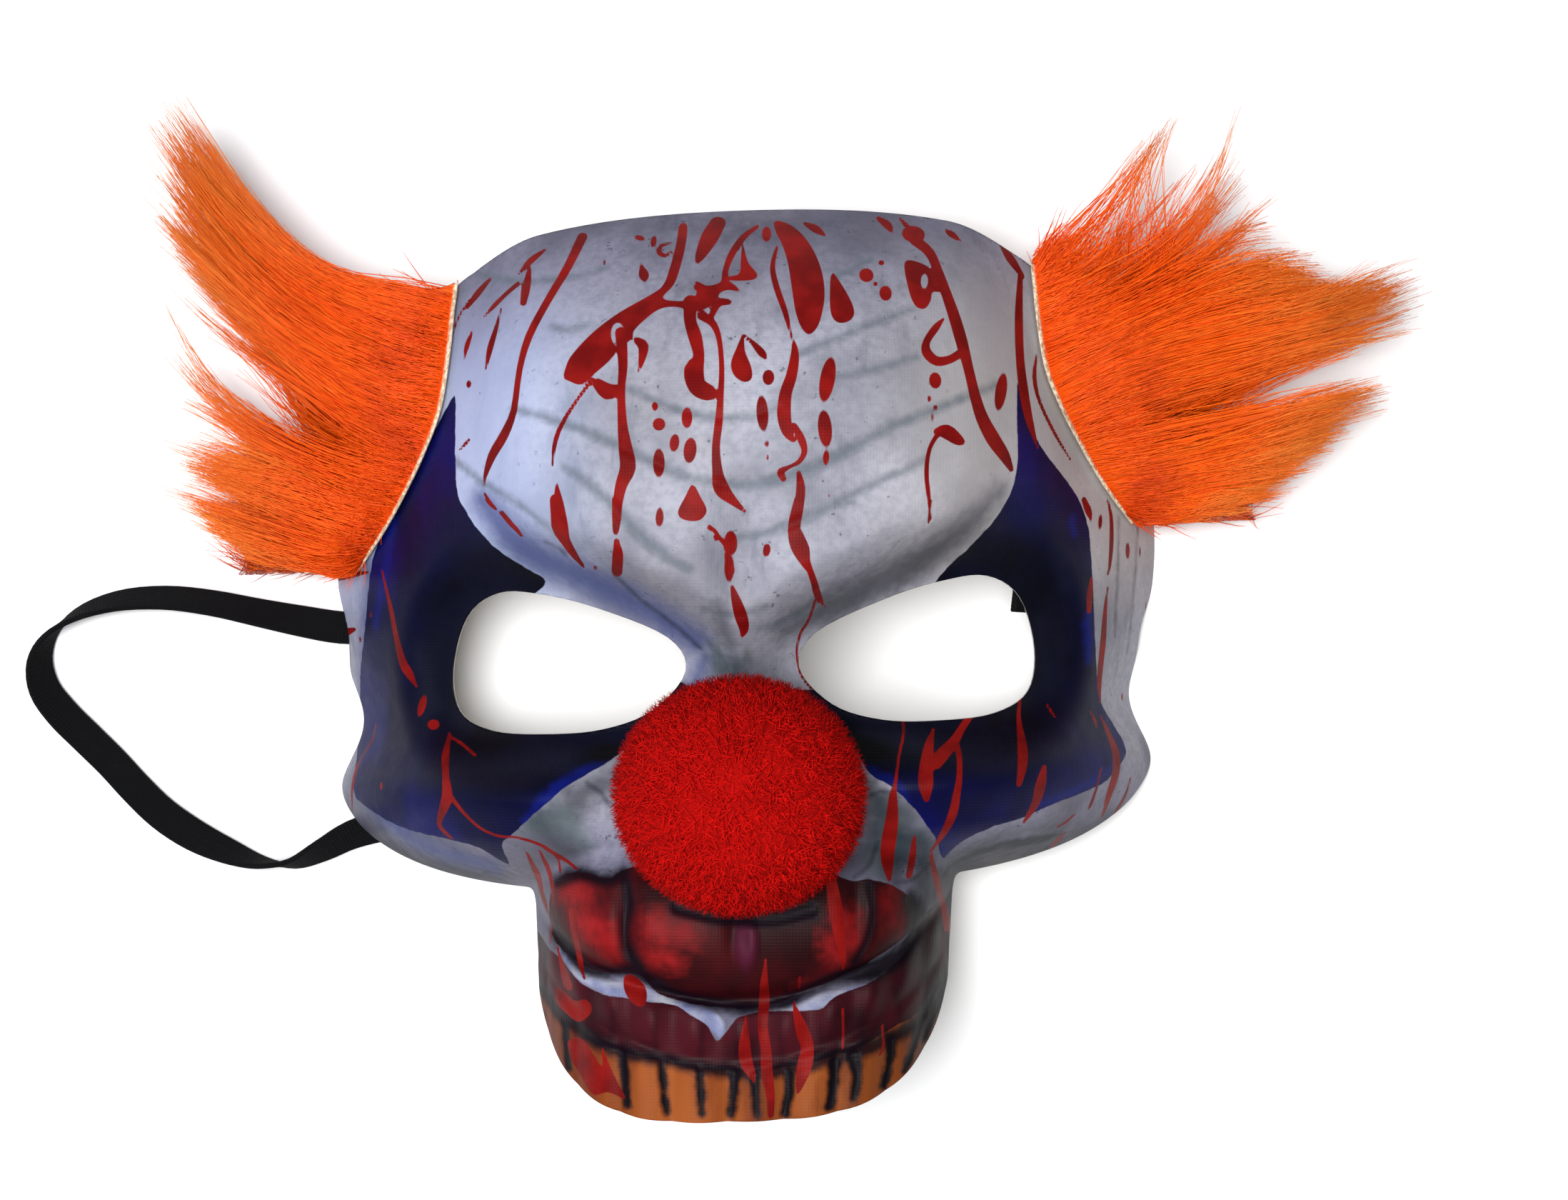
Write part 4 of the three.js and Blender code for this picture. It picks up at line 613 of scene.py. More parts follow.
# Soft marks, as lines of across, up and width: grey folds of the forehead, dark creases, bright blue paint
# edges, the sockets' painted pale sheen, painted grey-green shade, painted red highlights of the lip, dark lines
# of the mouth, dark grooves between the gum's lobes, gaps between the teeth, and the pale lip edge
WRINKLES = [
    [
        (-43.7, 47.5, 1.1), (-33.3, 44.1, 1.4), (-25.3, 40.9, 1.5), (-16.8, 36.8, 1.4),
        (-9.2, 33.7, 1.2), (-0.1, 32.2, 1.4), (9, 33.9, 1.7), (18.2, 37.7, 1.7), (27.4, 42.9, 1.5),
        (36.1, 46.6, 1.4), (44.3, 50.2, 1.4), (50.9, 53.1, 1.1),
    ],
    [
        (-33.1, 35.8, 0.8), (-27.6, 31.9, 1.5), (-23.7, 28.3, 1.8), (-19.1, 23.3, 2), (-13.7, 18.7, 1.7),
        (-9.2, 16.4, 1.2),
    ],
    [(-56.8, 38.5, 1), (-50.1, 33.6, 1.1), (-42.1, 29, 0.9), (-33.4, 21.9, 0.6)],
    [(-20.8, 50.5, 0.9), (-13, 46.9, 1.2), (-6.1, 44.9, 1.2), (1.5, 44.9, 1.1), (6.8, 46.5, 0.8)],
    [(11, 57.2, 0.9), (18.3, 60.3, 1.2), (25.4, 63.5, 1.2), (33, 66.7, 0.9)],
    [(17.5, 52.6, 0.8), (24.4, 54.1, 1.1), (33.1, 57, 0.8)],
    [
        (-0.9, 22.2, 0.8), (6.8, 23.9, 1.1), (14.4, 26.9, 1.2), (22.7, 31.5, 1.2), (29.7, 34.7, 1.1),
        (34.6, 37.2, 0.8),
    ],
    [(-36.4, 63.6, 0.8), (-33.1, 62.7, 1.1), (-28.3, 63.5, 0.6)],
    [(-55.2, 77.2, 0.7), (-45.7, 73.8, 1), (-34.6, 73.5, 0.8), (-25.8, 75.3, 0.6)],
    [(17.7, 72.6, 0.6), (21.7, 75, 0.8), (24.9, 76.8, 0.6)],
    [(1.7, 21.9, 0.7), (8.3, 24.9, 0.8), (14.9, 27.4, 0.8), (21, 29.4, 0.7)],
    [(3.7, 5, 0.5), (8.3, 6.5, 0.7), (13, 9.1, 0.6)],
    [(-6.9, 9, 0.7), (-1.5, 7.8, 0.8), (5, 9.3, 0.7)],
    [(5, 5.7, 0.6), (9.2, 7.5, 0.8), (14.7, 10.5, 0.7)],
]
DARK_LINES = [
    [(-23.9, 15.6, 0.4), (-19.3, 11.1, 0.5), (-14.5, 7.5, 0.5), (-10.3, 3.8, 0.5), (-7.9, 1.6, 0.4)],
    [(-77.8, -45.1, 0.3), (-70.6, -47.5, 0.7), (-65, -49.1, 1), (-58.4, -47.4, 0.8), (-51.2, -43.5, 0.5)],
    [(-29.3, -24, 0.4), (-26.5, -25.8, 0.6), (-25, -28.2, 0.4)],
    [(-37.4, 22, 0.2), (-34.9, 20.8, 0.4), (-33.1, 19.5, 0.2)],
    [
        (39.9, -43.6, 0.9), (42.7, -41.4, 1.2), (46.8, -39.2, 1.6), (51.2, -37.9, 2.2),
        (56.5, -37.5, 2.4), (60.9, -37.4, 2), (64.6, -36.8, 0.9),
    ],
    [(24.4, -26.2, 0.3), (27.5, -25.3, 0.5), (30.6, -26.7, 0.3)],
    [(21.2, -41.3, 0.4), (24.4, -39, 0.5), (26.1, -35.3, 0.3)],
    [(29, -42.6, 0.5), (32.9, -42.4, 0.6), (36.5, -40.4, 0.4)],
    [(77.7, 28.3, 0.2), (77.2, 14.6, 0.3), (76.8, 3.3, 0.2)],
    [(82.9, 26.3, 0.2), (81.6, 8.9, 0.2), (80.6, -0.3, 0.2)],
]
BLUE_EDGES = [
    [(-41.4, -31.6, 1), (-38, -27.6, 1.8), (-33.8, -24.1, 2.2), (-29.8, -21.7, 1.6), (-25.6, -19.8, 0.6)],
    [(-71.9, 27.4, 1.3), (-73.3, 18.3, 1.7), (-76.5, 5.2, 1.1)],
    [(23.4, -21.3, 0.8), (26, -22.5, 1.4), (29.6, -24.3, 1.3), (31.2, -26.7, 0.7)],
    [(70, 8.4, 1.1), (70.1, 4, 2), (70.6, -1.6, 1.1)],
    [(66, 27.2, 1.6), (66.6, 24.4, 1.1)],
    [(76.4, -23.1, 1.1), (66.8, -27, 1.3), (57.7, -29.6, 1.1)],
    [(38.1, -37.1, 0.8), (39.9, -38.6, 0.7)],
]
SHEEN = [
    [(-79.1, -25.4, 2), (-65, -23.2, 3.8), (-54.3, -22.2, 4.4), (-43.1, -21.5, 3.7), (-34.3, -20.2, 2.5)],
    [(-66.2, 0.8, 1.9), (-64.5, -7.6, 2.6), (-64.2, -15.3, 1.9)],
    [
        (23.6, -15.2, 2.1), (31, -16.2, 2.6), (38.3, -18.7, 3.2), (46.3, -20.1, 3.2), (54.7, -19.9, 3.7),
        (63.7, -18.1, 3.3), (72, -16.7, 1.7),
    ],
    [(59.6, 6.3, 1.7), (60.9, -2.1, 2.2), (60.6, -6.5, 1.3)],
    [(62.8, 22.1, 2.2), (64.9, 14.5, 1.6)],
]
TEAL = [
    [(-4.7, 0.8, 3.6), (-3.5, -2.3, 4.3), (0.8, -0.3, 1.8)],
    [(-41.5, -32.9, 2.4), (-35.1, -30.7, 6.7), (-30.4, -35.8, 3.7)],
    [(24.4, -25.1, 2.1), (28.6, -31.5, 6.8), (26.5, -38.6, 6.2), (34.1, -35.6, 5.3), (36.4, -45, 3.7)],
    [(41.6, -41.7, 1.6), (49.7, -36, 2.1), (61.4, -34.1, 1.1)],
    [(35.8, -41.2, 3.1), (36.2, -49.5, 3.1), (34.6, -54.3, 2.5), (28.6, -59.1, 2.2), (23.6, -61.5, 1.4)],
]
RED_LIP_HIGHLIGHTS = [
    [(-34.3, -45.1, 3.5), (-30.8, -45, 5)],
    [(-29.4, -49.8, 5), (-25.5, -52.7, 5.4), (-24.3, -54.5, 3)],
    [(-16, -50.7, 5.2), (-11, -51.3, 4)],
    [(-16.4, -55.5, 2.4), (-12.8, -56.1, 2.4)],
    [(19.4, -49.7, 3.6), (20.6, -53.4, 3.6)],
    [(27.9, -45.9, 2.4), (29.1, -50.3, 2.4)],
    [(-29, -60.2, 1), (-25.2, -60.3, 1.3), (-21.5, -60.6, 0.8)],
    [(12.2, -63, 0.6), (16.4, -62.2, 1.1), (21.2, -61.3, 0.7)],
    [(16.9, -53.1, 2.4), (18.2, -56.3, 1.8)],
]
MOUTH_DARK = [
    [
        (-21.7, -42.2, 0.5), (-21.2, -46.3, 0.6), (-21.9, -50.5, 0.3), (-21.4, -54.7, 0.7),
        (-19.2, -58.2, 1.2),
    ],
    [
        (-36.4, -54.3, 1.2), (-32.4, -57.7, 1.3), (-28.8, -59.4, 1.2), (-23.9, -59.4, 0.7),
        (-19.9, -58.9, 1.2), (-16.6, -61, 1.2), (-11.8, -63.6, 0.8), (-4.6, -65.2, 0.7),
        (2.6, -65.8, 0.7), (8.6, -64.5, 1.1), (12.2, -62.7, 0.8), (18.2, -60.2, 1.2), (23.1, -59.4, 2.1),
        (28.6, -58, 1.8), (32.6, -54.8, 1.8), (33.9, -50, 2.5), (32.3, -45.9, 1),
    ],
    [(24.2, -42.8, 0.1), (24.8, -48, 0), (23.6, -53.5, 0.2), (21.5, -57.2, 0.6)],
    [(-35.9, -43.7, 0.5), (-31, -41.5, 0.6), (-25.7, -42.1, 0.6), (-22.1, -40.8, 0.7)],
    [(-11.7, -46.6, 1.8), (-3.3, -48.3, 1.8), (6.2, -48.6, 1.8), (13.4, -47.1, 1.5)],
    [
        (-43, -64.4, 1.7), (-38.6, -67.8, 1.6), (-32.3, -70.7, 1.3), (-27.6, -72.6, 1.1),
        (-22.7, -74.3, 1), (-16.5, -75.1, 0.7), (-9.3, -76.6, 0.7), (-0.4, -77.9, 1), (7.4, -77.4, 1.2),
        (14.6, -75.6, 1.4), (20.6, -74.4, 1.4), (26.7, -72.7, 1.3), (31.8, -71, 1.3), (35.9, -68.8, 1.6),
        (38.5, -65.4, 1.9), (41, -63.7, 1.5),
    ],
]
GUM_LOBES = [
    [(-24.1, -66.2, 0.3), (-24.5, -73, 0.4)],
    [(-15.9, -66.5, 0.4), (-16.2, -74.7, 0.5)],
    [(-7.2, -68.8, 0.4), (-7.6, -75.6, 0.5)],
    [(-0.7, -68.8, 0.4), (-0.4, -76.8, 0.5)],
    [(7.2, -67.7, 0.2), (7.7, -75.4, 0.4)],
    [(14.8, -69, 0.3), (15.3, -74.6, 0.4)],
    [(22.4, -66.2, 0.3), (23.1, -72.8, 0.4)],
    [(29.2, -62.7, 0.3), (30.6, -70.2, 0.4)],
    [(-31.6, -65.6, 0.2), (-32.2, -70.7, 0.4)],
]
TOOTH_GAPS = [
    [(-40.1, -71.4, 0.3), (-40, -77, 0.4)],
    [(-34.1, -71.1, 0.4), (-33.4, -78.9, 0.4)],
    [(-22.3, -74.4, 0.6), (-21.9, -78.9, 0.5), (-21.4, -84.2, 0.3)],
    [(-14.9, -76.2, 0.5), (-14.5, -81.6, 0.4), (-13.9, -85.5, 0.2)],
    [(-7.7, -77, 0.5), (-7.3, -85.3, 0.2)],
    [(-1.1, -78, 1), (-1.3, -81.6, 0.6), (-1.8, -85.7, 0.4)],
    [(2.6, -78.4, 0.7), (2.9, -82.6, 0.5), (3, -85.6, 0.3)],
    [(8.9, -78, 0.8), (9.1, -81.6, 0.7), (8.3, -85.5, 0.5)],
    [(17.6, -76.3, 1.3), (17.4, -79.9, 1), (16.7, -84.3, 0.6)],
    [(21.2, -75.1, 1.8), (21.8, -78.7, 0.6), (21.2, -82.9, 0.4)],
    [(28.5, -72.9, 0.8), (28.1, -77.1, 0.5), (27, -81.2, 0.3)],
    [(34.7, -70.2, 0.9), (33.1, -74.5, 0.5), (31.1, -78.8, 0.2)],
    [(39.3, -67.1, 1.9), (37, -70.4, 1.2), (35.2, -74.1, 0.5)],
]
WHITE_BAND = [
    [
        (-36.9, -53, 0.6), (-35.8, -56.2, 1.5), (-33.4, -58.7, 2.1), (-30.2, -61, 2.4),
        (-25.7, -62.2, 2.8), (-20.3, -63, 3), (-15.4, -64, 2.4), (-11.8, -65.3, 2.4), (-8.1, -66.5, 3),
        (-4.6, -69, 3.6), (-4, -71.4, 0.6),
    ],
    [
        (2.6, -66.6, 0.8), (7.4, -66.3, 1.4), (12.2, -65.5, 2.6), (15.8, -64.2, 3), (19.4, -63.1, 1.8),
        (23.6, -61.8, 1.2),
    ],
]


def smoothstep(start, end, value):
    t = np.clip((value - start) / (end - start), 0, 1)
    return t * t * (3 - 2 * t)


def bell(value):
    return np.exp(-value * value)


def smooth_max(a, b, melt):
    t = np.clip(0.5 + 0.5 * (a - b) / melt, 0, 1)
    return b + (a - b) * t + melt * t * (1 - t)


def level(share):
    return share * np.where(share > 0, FACE_UP, FACE_DOWN)


def column(rows, index, up):
    """A smooth curve through one column of a table, at a level."""
    at = level(rows[:, 0])
    values = rows[:, index]
    last = len(rows) - 1
    place = np.clip(up, at[0], at[last])
    k = np.clip(np.searchsorted(at, place, side="right") - 1, 0, last - 1)
    before, after = np.maximum(k - 1, 0), np.minimum(k + 2, last)
    span = at[k + 1] - at[k]
    t = (place - at[k]) / span
    start_slope = (values[k + 1] - values[before]) / (at[k + 1] - at[before]) * span
    end_slope = (values[after] - values[k]) / (at[after] - at[k]) * span
    start, end = values[k], values[k + 1]
    cube = 2 * (start - end) + start_slope + end_slope
    square = 3 * (end - start) - 2 * start_slope - end_slope
    return ((cube * t + square) * t + start_slope) * t + start


def smooth_loop(points, steps):
    """A closed curve through points, with `steps` stations between each two."""
    before, after, second = np.roll(points, 1, 0), np.roll(points, -1, 0), np.roll(points, -2, 0)
    t = (np.arange(steps) / steps)[None, :, None]
    a, b, c, d = (p[:, None, :] for p in (before, points, after, second))
    curve = b + 0.5 * t * (c - a) + t**2 * (a - 2.5 * b + 2 * c - 0.5 * d) + t**3 * (1.5 * (b - c) + 0.5 * (d - a))
    return curve.reshape(-1, 2)


def smooth_line(points, steps):
    """An open curve through points, with `steps` stations between each two."""
    padded = np.concatenate([2 * points[:1] - points[1:2], points, 2 * points[-1:] - points[-2:-1]])
    a, b, c, d = (padded[i:len(padded) - 3 + i, None] for i in range(4))
    t = (np.arange(steps) / steps)[None, :, None]
    curve = b + 0.5 * t * (c - a) + t**2 * (a - 2.5 * b + 2 * c - 0.5 * d) + t**3 * (1.5 * (b - c) + 0.5 * (d - a))
    return np.concatenate([curve.reshape(-1, points.shape[1]), points[-1:]])


def loop_distance(loop, x, y):
    """Distance to a closed loop, negative inside."""
    nearest = np.full(x.shape, np.inf)
    inside = np.zeros(x.shape, bool)
    for (ax, ay), (bx, by) in zip(loop, np.roll(loop, -1, 0)):
        dx, dy = bx - ax, by - ay
        t = np.clip(((x - ax) * dx + (y - ay) * dy) / (dx * dx + dy * dy + 1e-12), 0, 1)
        nearest = np.minimum(nearest, np.hypot(x - ax - t * dx, y - ay - t * dy))
        if ay != by:
            inside ^= ((ay > y) != (by > y)) & (x < ax + (y - ay) / dy * dx)
    return np.where(inside, -nearest, nearest)


EYE_LOOP = smooth_loop(EYE_OUTLINE * [EYE_WIDTH / 2, EYE_HEIGHT / 2] + [EYE_CENTRE, 0], 5)


def brow_form(across, up):
    line = BROW_LOW + BROW_LIFT * smoothstep(0, BROW_REACH, across)
    inside = -smooth_max(-0.85 * (up - line), across - PANEL_HALF_WIDTH, BROW_MELT)
    edge = smoothstep(PANEL_HALF_WIDTH - TEMPLE_BAND, PANEL_HALF_WIDTH, across)
    rise = BROW_RISE * (1 - PANEL_SIDE_LOSS * edge)
    frown = FROWN_DEPTH * bell(across / 5) * bell((up - FROWN_UP) / 13)
    return rise * smoothstep(-BROW_BEVEL, BROW_ROUND, inside) - frown


def cheek_form(across, up):
    ridge = CHEEK_RISE * bell((up - CHEEK_UP + 0.07 * across) / CHEEK_SPREAD)
    turned = np.maximum(0, FLANK_UP - up) / FLANK_REACH
    return ridge * smoothstep(CHEEK_INNER, CHEEK_OUTER, across) - FLANK_DROP * turned * turned


def mouth_lines(x):
    """The lip line, the gum line and the way round the muzzle, at each x."""
    around = JAW_SPREAD * np.arcsin(np.clip(x / JAW_SPREAD, -1, 1))
    return LIP_LINE + LIP_CURVE * x * x, GUM_LINE + GUM_CURVE * x * x, around


def mouth_form(x, up):
    across = np.abs(x)
    lip_line, gum_line, around = mouth_lines(x)
    in_lip = np.clip((up - lip_line) / (LIP_TOP - lip_line), 0, 1)
    in_gum = np.clip((up - gum_line) / (lip_line - gum_line), 0, 1)
    lip = LIP_RISE * np.sin(np.pi * in_lip)
    fold = LIP_FOLD_DEPTH * bell((across - LIP_FOLD) / 2.2) * np.sin(np.pi * in_lip)
    philtrum = PHILTRUM_DEPTH * bell(across / 2.4) * bell((up - PHILTRUM_UP) / 7)
    lobes = 0.6 + 0.4 * np.cos(2 * np.pi * around / GUM_PITCH)
    gum = GUM_RISE * lobes * np.sin(np.pi * in_gum)
    crown = np.abs(np.sin(np.pi * (around - TOOTH_OFFSET) / TOOTH_PITCH))
    teeth = TOOTH_RISE * crown * smoothstep(gum_line, gum_line - 2.5, up)
    groove = LIP_GROOVE * bell((up - lip_line) / 1.8)
    return lip - fold - philtrum + gum + teeth - groove


def jaw_form(x, up):
    side = (np.abs(x) / JAW_SPREAD) ** JAW_FULLNESS
    front = (JAW_DEPTH + JAW_SINK) * smoothstep(JAW_START, JAW_FULL, up) - JAW_SINK - JAW_DEPTH * side
    return front + mouth_form(x, up) * (1 - smoothstep(JAW_HALF_WIDTH - 6, JAW_HALF_WIDTH + 2, np.abs(x)))


def face_height(x, y):
    """Height of the shell's outer face over the table, for points of the front view."""
    across = np.abs(x)
    up = y - LEAN * x
    half = FACE_HALF_WIDTH * column(SKULL_ROWS, 2, up)
    sides = (across / half) ** column(SKULL_ROWS, 3, up)
    skull = SKULL_DEPTH * column(SKULL_ROWS, 1, up) * (1 - sides)
    socket = SOCKET_DEPTH * (1 - smoothstep(0, SOCKET_RING, np.maximum(loop_distance(EYE_LOOP, across, up), 0)))
    nose = NOSE_RISE * bell(across / NOSE_HALF_WIDTH) * bell((up - NOSE_UP) / NOSE_HALF_HEIGHT)
    upper = skull + brow_form(across, up) + cheek_form(across, up) + nose - socket
    return smooth_max(upper, jaw_form(x, up), JAW_MELT)


def parallel_height(x, y, distance):
    """Height of a face parallel to the shell's outer face, a distance in front of it."""
    along_x = face_height(x + 0.5, y) - face_height(x - 0.5, y)
    along_y = face_height(x, y + 0.5) - face_height(x, y - 0.5)
    return face_height(x, y) + distance * np.sqrt(1 + along_x**2 + along_y**2)


def rim_height(x, y):
    up = y - LEAN * x
    top = np.clip((up - FOOT_TOP) / (FACE_UP - FOOT_TOP), 0, 2) ** RIM_TOP_BEND
    jaw_start = FOOT_BOTTOM - RIM_JAW_REACH
    jaw = smoothstep(FOOT_BOTTOM, jaw_start, up)
    chin = np.clip((jaw_start - up) / (jaw_start + FACE_DOWN), 0, 2)
    arch = ARCH_HEIGHT * (0.5 + 0.5 * np.cos(np.pi * np.clip((y - ARCH_UP) / ARCH_HALF_WIDTH, -1, 1)))
    return RIM_TOP_RISE * top + RIM_JAW_RISE * jaw + RIM_CHIN_RISE * chin + arch


def stroke_depth(strokes, x, y, least=0):
    """How deep each point lies inside tapered lines; under 0 it is outside them."""
    depth = np.full(x.shape, -9.0)
    for stroke in strokes:
        line = smooth_line(np.array(stroke, float), 3)
        for (ax, ay, aw), (bx, by, bw) in zip(line, line[1:]):
            reach = 3 + max(aw, bw) / 2
            near = (x > min(ax, bx) - reach) & (x < max(ax, bx) + reach)
            near &= (y > min(ay, by) - reach) & (y < max(ay, by) + reach)
            px, py, dx, dy = x[near] - ax, y[near] - ay, bx - ax, by - ay
            t = np.clip((px * dx + py * dy) / (dx * dx + dy * dy), 0, 1)
            inside = np.maximum(aw + (bw - aw) * t, least) / 2 - np.hypot(px - t * dx, py - t * dy)
            depth[near] = np.maximum(depth[near], inside)
    return depth


def drop_depth(drops, x, y):
    """As stroke_depth, for ellipses."""
    depth = np.full(x.shape, -9.0)
    for across, up, half_width, half_height, tilt in drops:
        c, s = math.cos(math.radians(tilt)), math.sin(math.radians(tilt))
        u, v = (x - across) * c - (y - up) * s, (x - across) * s + (y - up) * c
        depth = np.maximum(depth, (1 - np.hypot(u / half_width, v / half_height)) * min(half_width, half_height))
    return depth


def outline_depth(outlines, x, y):
    """As stroke_depth, for closed outlines with rounded corners."""
    depth = np.full(x.shape, -9.0)
    for outline in outlines:
        points = np.array(outline, float)
        low, high = points.min(0) - 9, points.max(0) + 9
        near = (x > low[0]) & (x < high[0]) & (y > low[1]) & (y < high[1])
        inside = -loop_distance(smooth_loop(points, 4), x[near], y[near])
        depth[near] = np.maximum(depth[near], inside)
    return depth


def blood_depth(x, y):
    spills = np.minimum(outline_depth(BLOOD_SPILLS, x, y), -drop_depth(SPILL_HOLES, x, y))
    return np.maximum(spills, np.maximum(stroke_depth(BLOOD_STROKES, x, y, THIN_BLOOD), drop_depth(BLOOD_DROPS, x, y)))


def jaw_margin(x, y):
    """How far a point lies inside the trimmed bottom edge of the jaw."""
    up = y - LEAN * x
    drop = FACE_DOWN + JAW_CORNER_UP
    fall = np.maximum(JAW_CORNER_UP - up, 0) / drop
    reach = ((np.abs(x) / JAW_HALF_WIDTH) ** 3 + fall**3) ** (1 / 3)
    return np.where(fall * drop > 5, (1 - reach) * drop, 50)


def to_frame(points):
    return (np.asarray(points, float) + FACE_MIDDLE) * MM


def mesh_object(name, points, triangles, material, smooth=True):
    """A mesh from arrays: points in metres and triangles."""
    mesh = bpy.data.meshes.new(name)
    triangles = np.ascontiguousarray(triangles, np.int32)
    mesh.vertices.add(len(points))
    mesh.vertices.foreach_set("co", np.ascontiguousarray(points, np.float32).ravel())
    mesh.loops.add(triangles.size)
    mesh.loops.foreach_set("vertex_index", triangles.ravel())
    mesh.polygons.add(len(triangles))
    mesh.polygons.foreach_set("loop_start", np.arange(0, triangles.size, 3, dtype=np.int32))
    mesh.update()
    mesh.validate()
    mesh.polygons.foreach_set("use_smooth", np.full(len(mesh.polygons), smooth))
    if material:
        mesh.materials.append(material)
    piece = bpy.data.objects.new(name, mesh)
    bpy.context.scene.collection.objects.link(piece)
    return piece


def add_values(piece, name, values):
    attribute = piece.data.attributes.new(name, "FLOAT", "POINT")
    attribute.data.foreach_set("value", np.ascontiguousarray(values, np.float32).ravel())


class Material:
    """A material built up node by node."""

    def __init__(self, name, **values):
        self.material = bpy.data.materials.new(name)
        self.material.use_nodes = True
        self.tree = self.material.node_tree
        self.shader = self.tree.nodes["Principled BSDF"]
        for key, value in values.items():
            self.shader.inputs[key.replace("_", " ")].default_value = value

    def node(self, kind, inputs=None, **settings):
        node = self.tree.nodes.new(kind)
        for key, value in settings.items():
            setattr(node, key, value)
        for key, value in (inputs or {}).items():
            self.feed(node.inputs[key], value)
        return node

    def feed(self, socket, value):
        if isinstance(value, bpy.types.NodeSocket):
            self.tree.links.new(value, socket)
        else:
            socket.default_value = value

    def set(self, name, value):
        self.feed(self.shader.inputs[name], value)

    def math(self, operation, a, b=0.0, clamp=False):
        node = self.node("ShaderNodeMath", {0: a, 1: b}, operation=operation)
        node.use_clamp = clamp
        return node.outputs[0]

    def value(self, name):
        return self.node("ShaderNodeAttribute", attribute_name=name).outputs["Fac"]

    def ramp(self, value, start, end):
        """0 below start, 1 above end."""
        node = self.node("ShaderNodeMapRange", {0: value, 1: start, 2: end}, interpolation_type="SMOOTHSTEP")
        return node.outputs[0]

    def noise(self, scale, detail=2.0, roughness=0.5, vector=None, distortion=0.0):
        node = self.node("ShaderNodeTexNoise", {"Scale": scale, "Detail": detail, "Roughness": roughness,
                                                "Distortion": distortion})
        self.feed(node.inputs["Vector"], vector or self.place())
        return node.outputs["Fac"]

    def place(self):
        return self.node("ShaderNodeTexCoord").outputs["Object"]

    def stretched(self, scale, turn=(0, 0, 0)):
        return self.node("ShaderNodeMapping", {"Vector": self.place(), "Scale": scale, "Rotation": turn}).outputs[0]

    def mix(self, factor, a, b, blend="MIX"):
        node = self.node("ShaderNodeMix", data_type="RGBA", blend_type=blend)
        self.feed(node.inputs[0], factor)
        for socket, value in ((node.inputs[6], a), (node.inputs[7], b)):
            self.feed(socket, (*value, 1) if isinstance(value, tuple) and len(value) == 3 else value)
        return node.outputs[2]

    def bump(self, height, strength, distance):
        last = self.shader.inputs["Normal"]
        inputs = {"Height": height, "Strength": strength, "Distance": distance}
        if last.is_linked:
            inputs["Normal"] = last.links[0].from_socket
        self.feed(last, self.node("ShaderNodeBump", inputs).outputs[0])


def shade(red, green, blue):
    """A colour given as the screen shows it, made linear."""
    return tuple(((c / 255 + 0.055) / 1.055) ** 2.4 if c > 10 else c / 255 / 12.92 for c in (red, green, blue))


bpy.context.scene.view_settings.view_transform = "Standard"

# Camera: straight over the table, at the photograph's angle and distance
CAMERA_HIGH = 0.56
CAMERA_LENS = 59.7
camera_data = bpy.data.cameras.new("camera")
camera_data.sensor_width = 36
camera_data.lens = CAMERA_LENS
camera = bpy.data.objects.new("camera", camera_data)
camera.location = to_frame((8.1, 10.9, CAMERA_HIGH / MM))
bpy.context.scene.collection.objects.link(camera)
bpy.context.scene.camera = camera


def catmull_rom(points, steps):
    """A centripetal curve through points, with `steps` stations between each two."""
    points = [2 * points[0] - points[1], *points, 2 * points[-1] - points[-2]]
    stations = []
    for p0, p1, p2, p3 in zip(points, points[1:], points[2:], points[3:]):
        d0, d1, d2 = (max(np.linalg.norm(b - a) ** 0.5, 1e-6) for a, b in ((p0, p1), (p1, p2), (p2, p3)))
        start = ((p1 - p0) / d0 - (p2 - p0) / (d0 + d1) + (p2 - p1) / d1) * d1
        end = ((p2 - p1) / d1 - (p3 - p1) / (d1 + d2) + (p3 - p2) / d2) * d1
        for t in np.arange(steps) / steps:
            cube = 2 * (p1 - p2) + start + end
            square = 3 * (p2 - p1) - 2 * start - end
            stations.append(((cube * t + square) * t + start) * t + p1)
    stations.append(points[-2])
    return np.array(stations)


def level_axes(along):
    level_way = np.array([-along[1], along[0], 0])
    level_way /= np.linalg.norm(level_way)
    return level_way, np.cross(along, level_way)


def band_rows():
    """Places and turns of the band's rows, in millimetres and radians."""
    places, rolls = [], []
    clearance = WALL + BAND_SLACK + BAND_THICKNESS / 2
    for i, (x, y, turn) in enumerate(BAND_ROUTE):
        x, y = np.array([x]) / MM, np.array([y]) / MM
        if turn is None:
            z = parallel_height(x, y, -clearance)
        else:
            roll = math.radians(turn)
            half = (BAND_WIDTH * abs(math.sin(roll)) + BAND_THICKNESS * abs(math.cos(roll))) / 2
            z = [BAND_CLEAR + half + BAND_LIFTS.get(i, 0) / MM]
        places.append(np.array([x[0], y[0], z[0]]))
    for i, (x, y, turn) in enumerate(BAND_ROUTE):
        if turn is not None:
            rolls.append(math.radians(turn))
            continue
        along = places[min(i + 1, len(places) - 1)] - places[max(i - 1, 0)]
        level_way, upward = level_axes(along / np.linalg.norm(along))
        x, y = np.array([x]) / MM, np.array([y]) / MM
        slope_x = parallel_height(x + 0.5, y, -WALL) - parallel_height(x - 0.5, y, -WALL)
        slope_y = parallel_height(x, y + 0.5, -WALL) - parallel_height(x, y - 0.5, -WALL)
        normal = np.array([-slope_x[0], -slope_y[0], 1])
        rolls.append(-math.atan(normal @ level_way / (normal @ upward)))
    return places, rolls


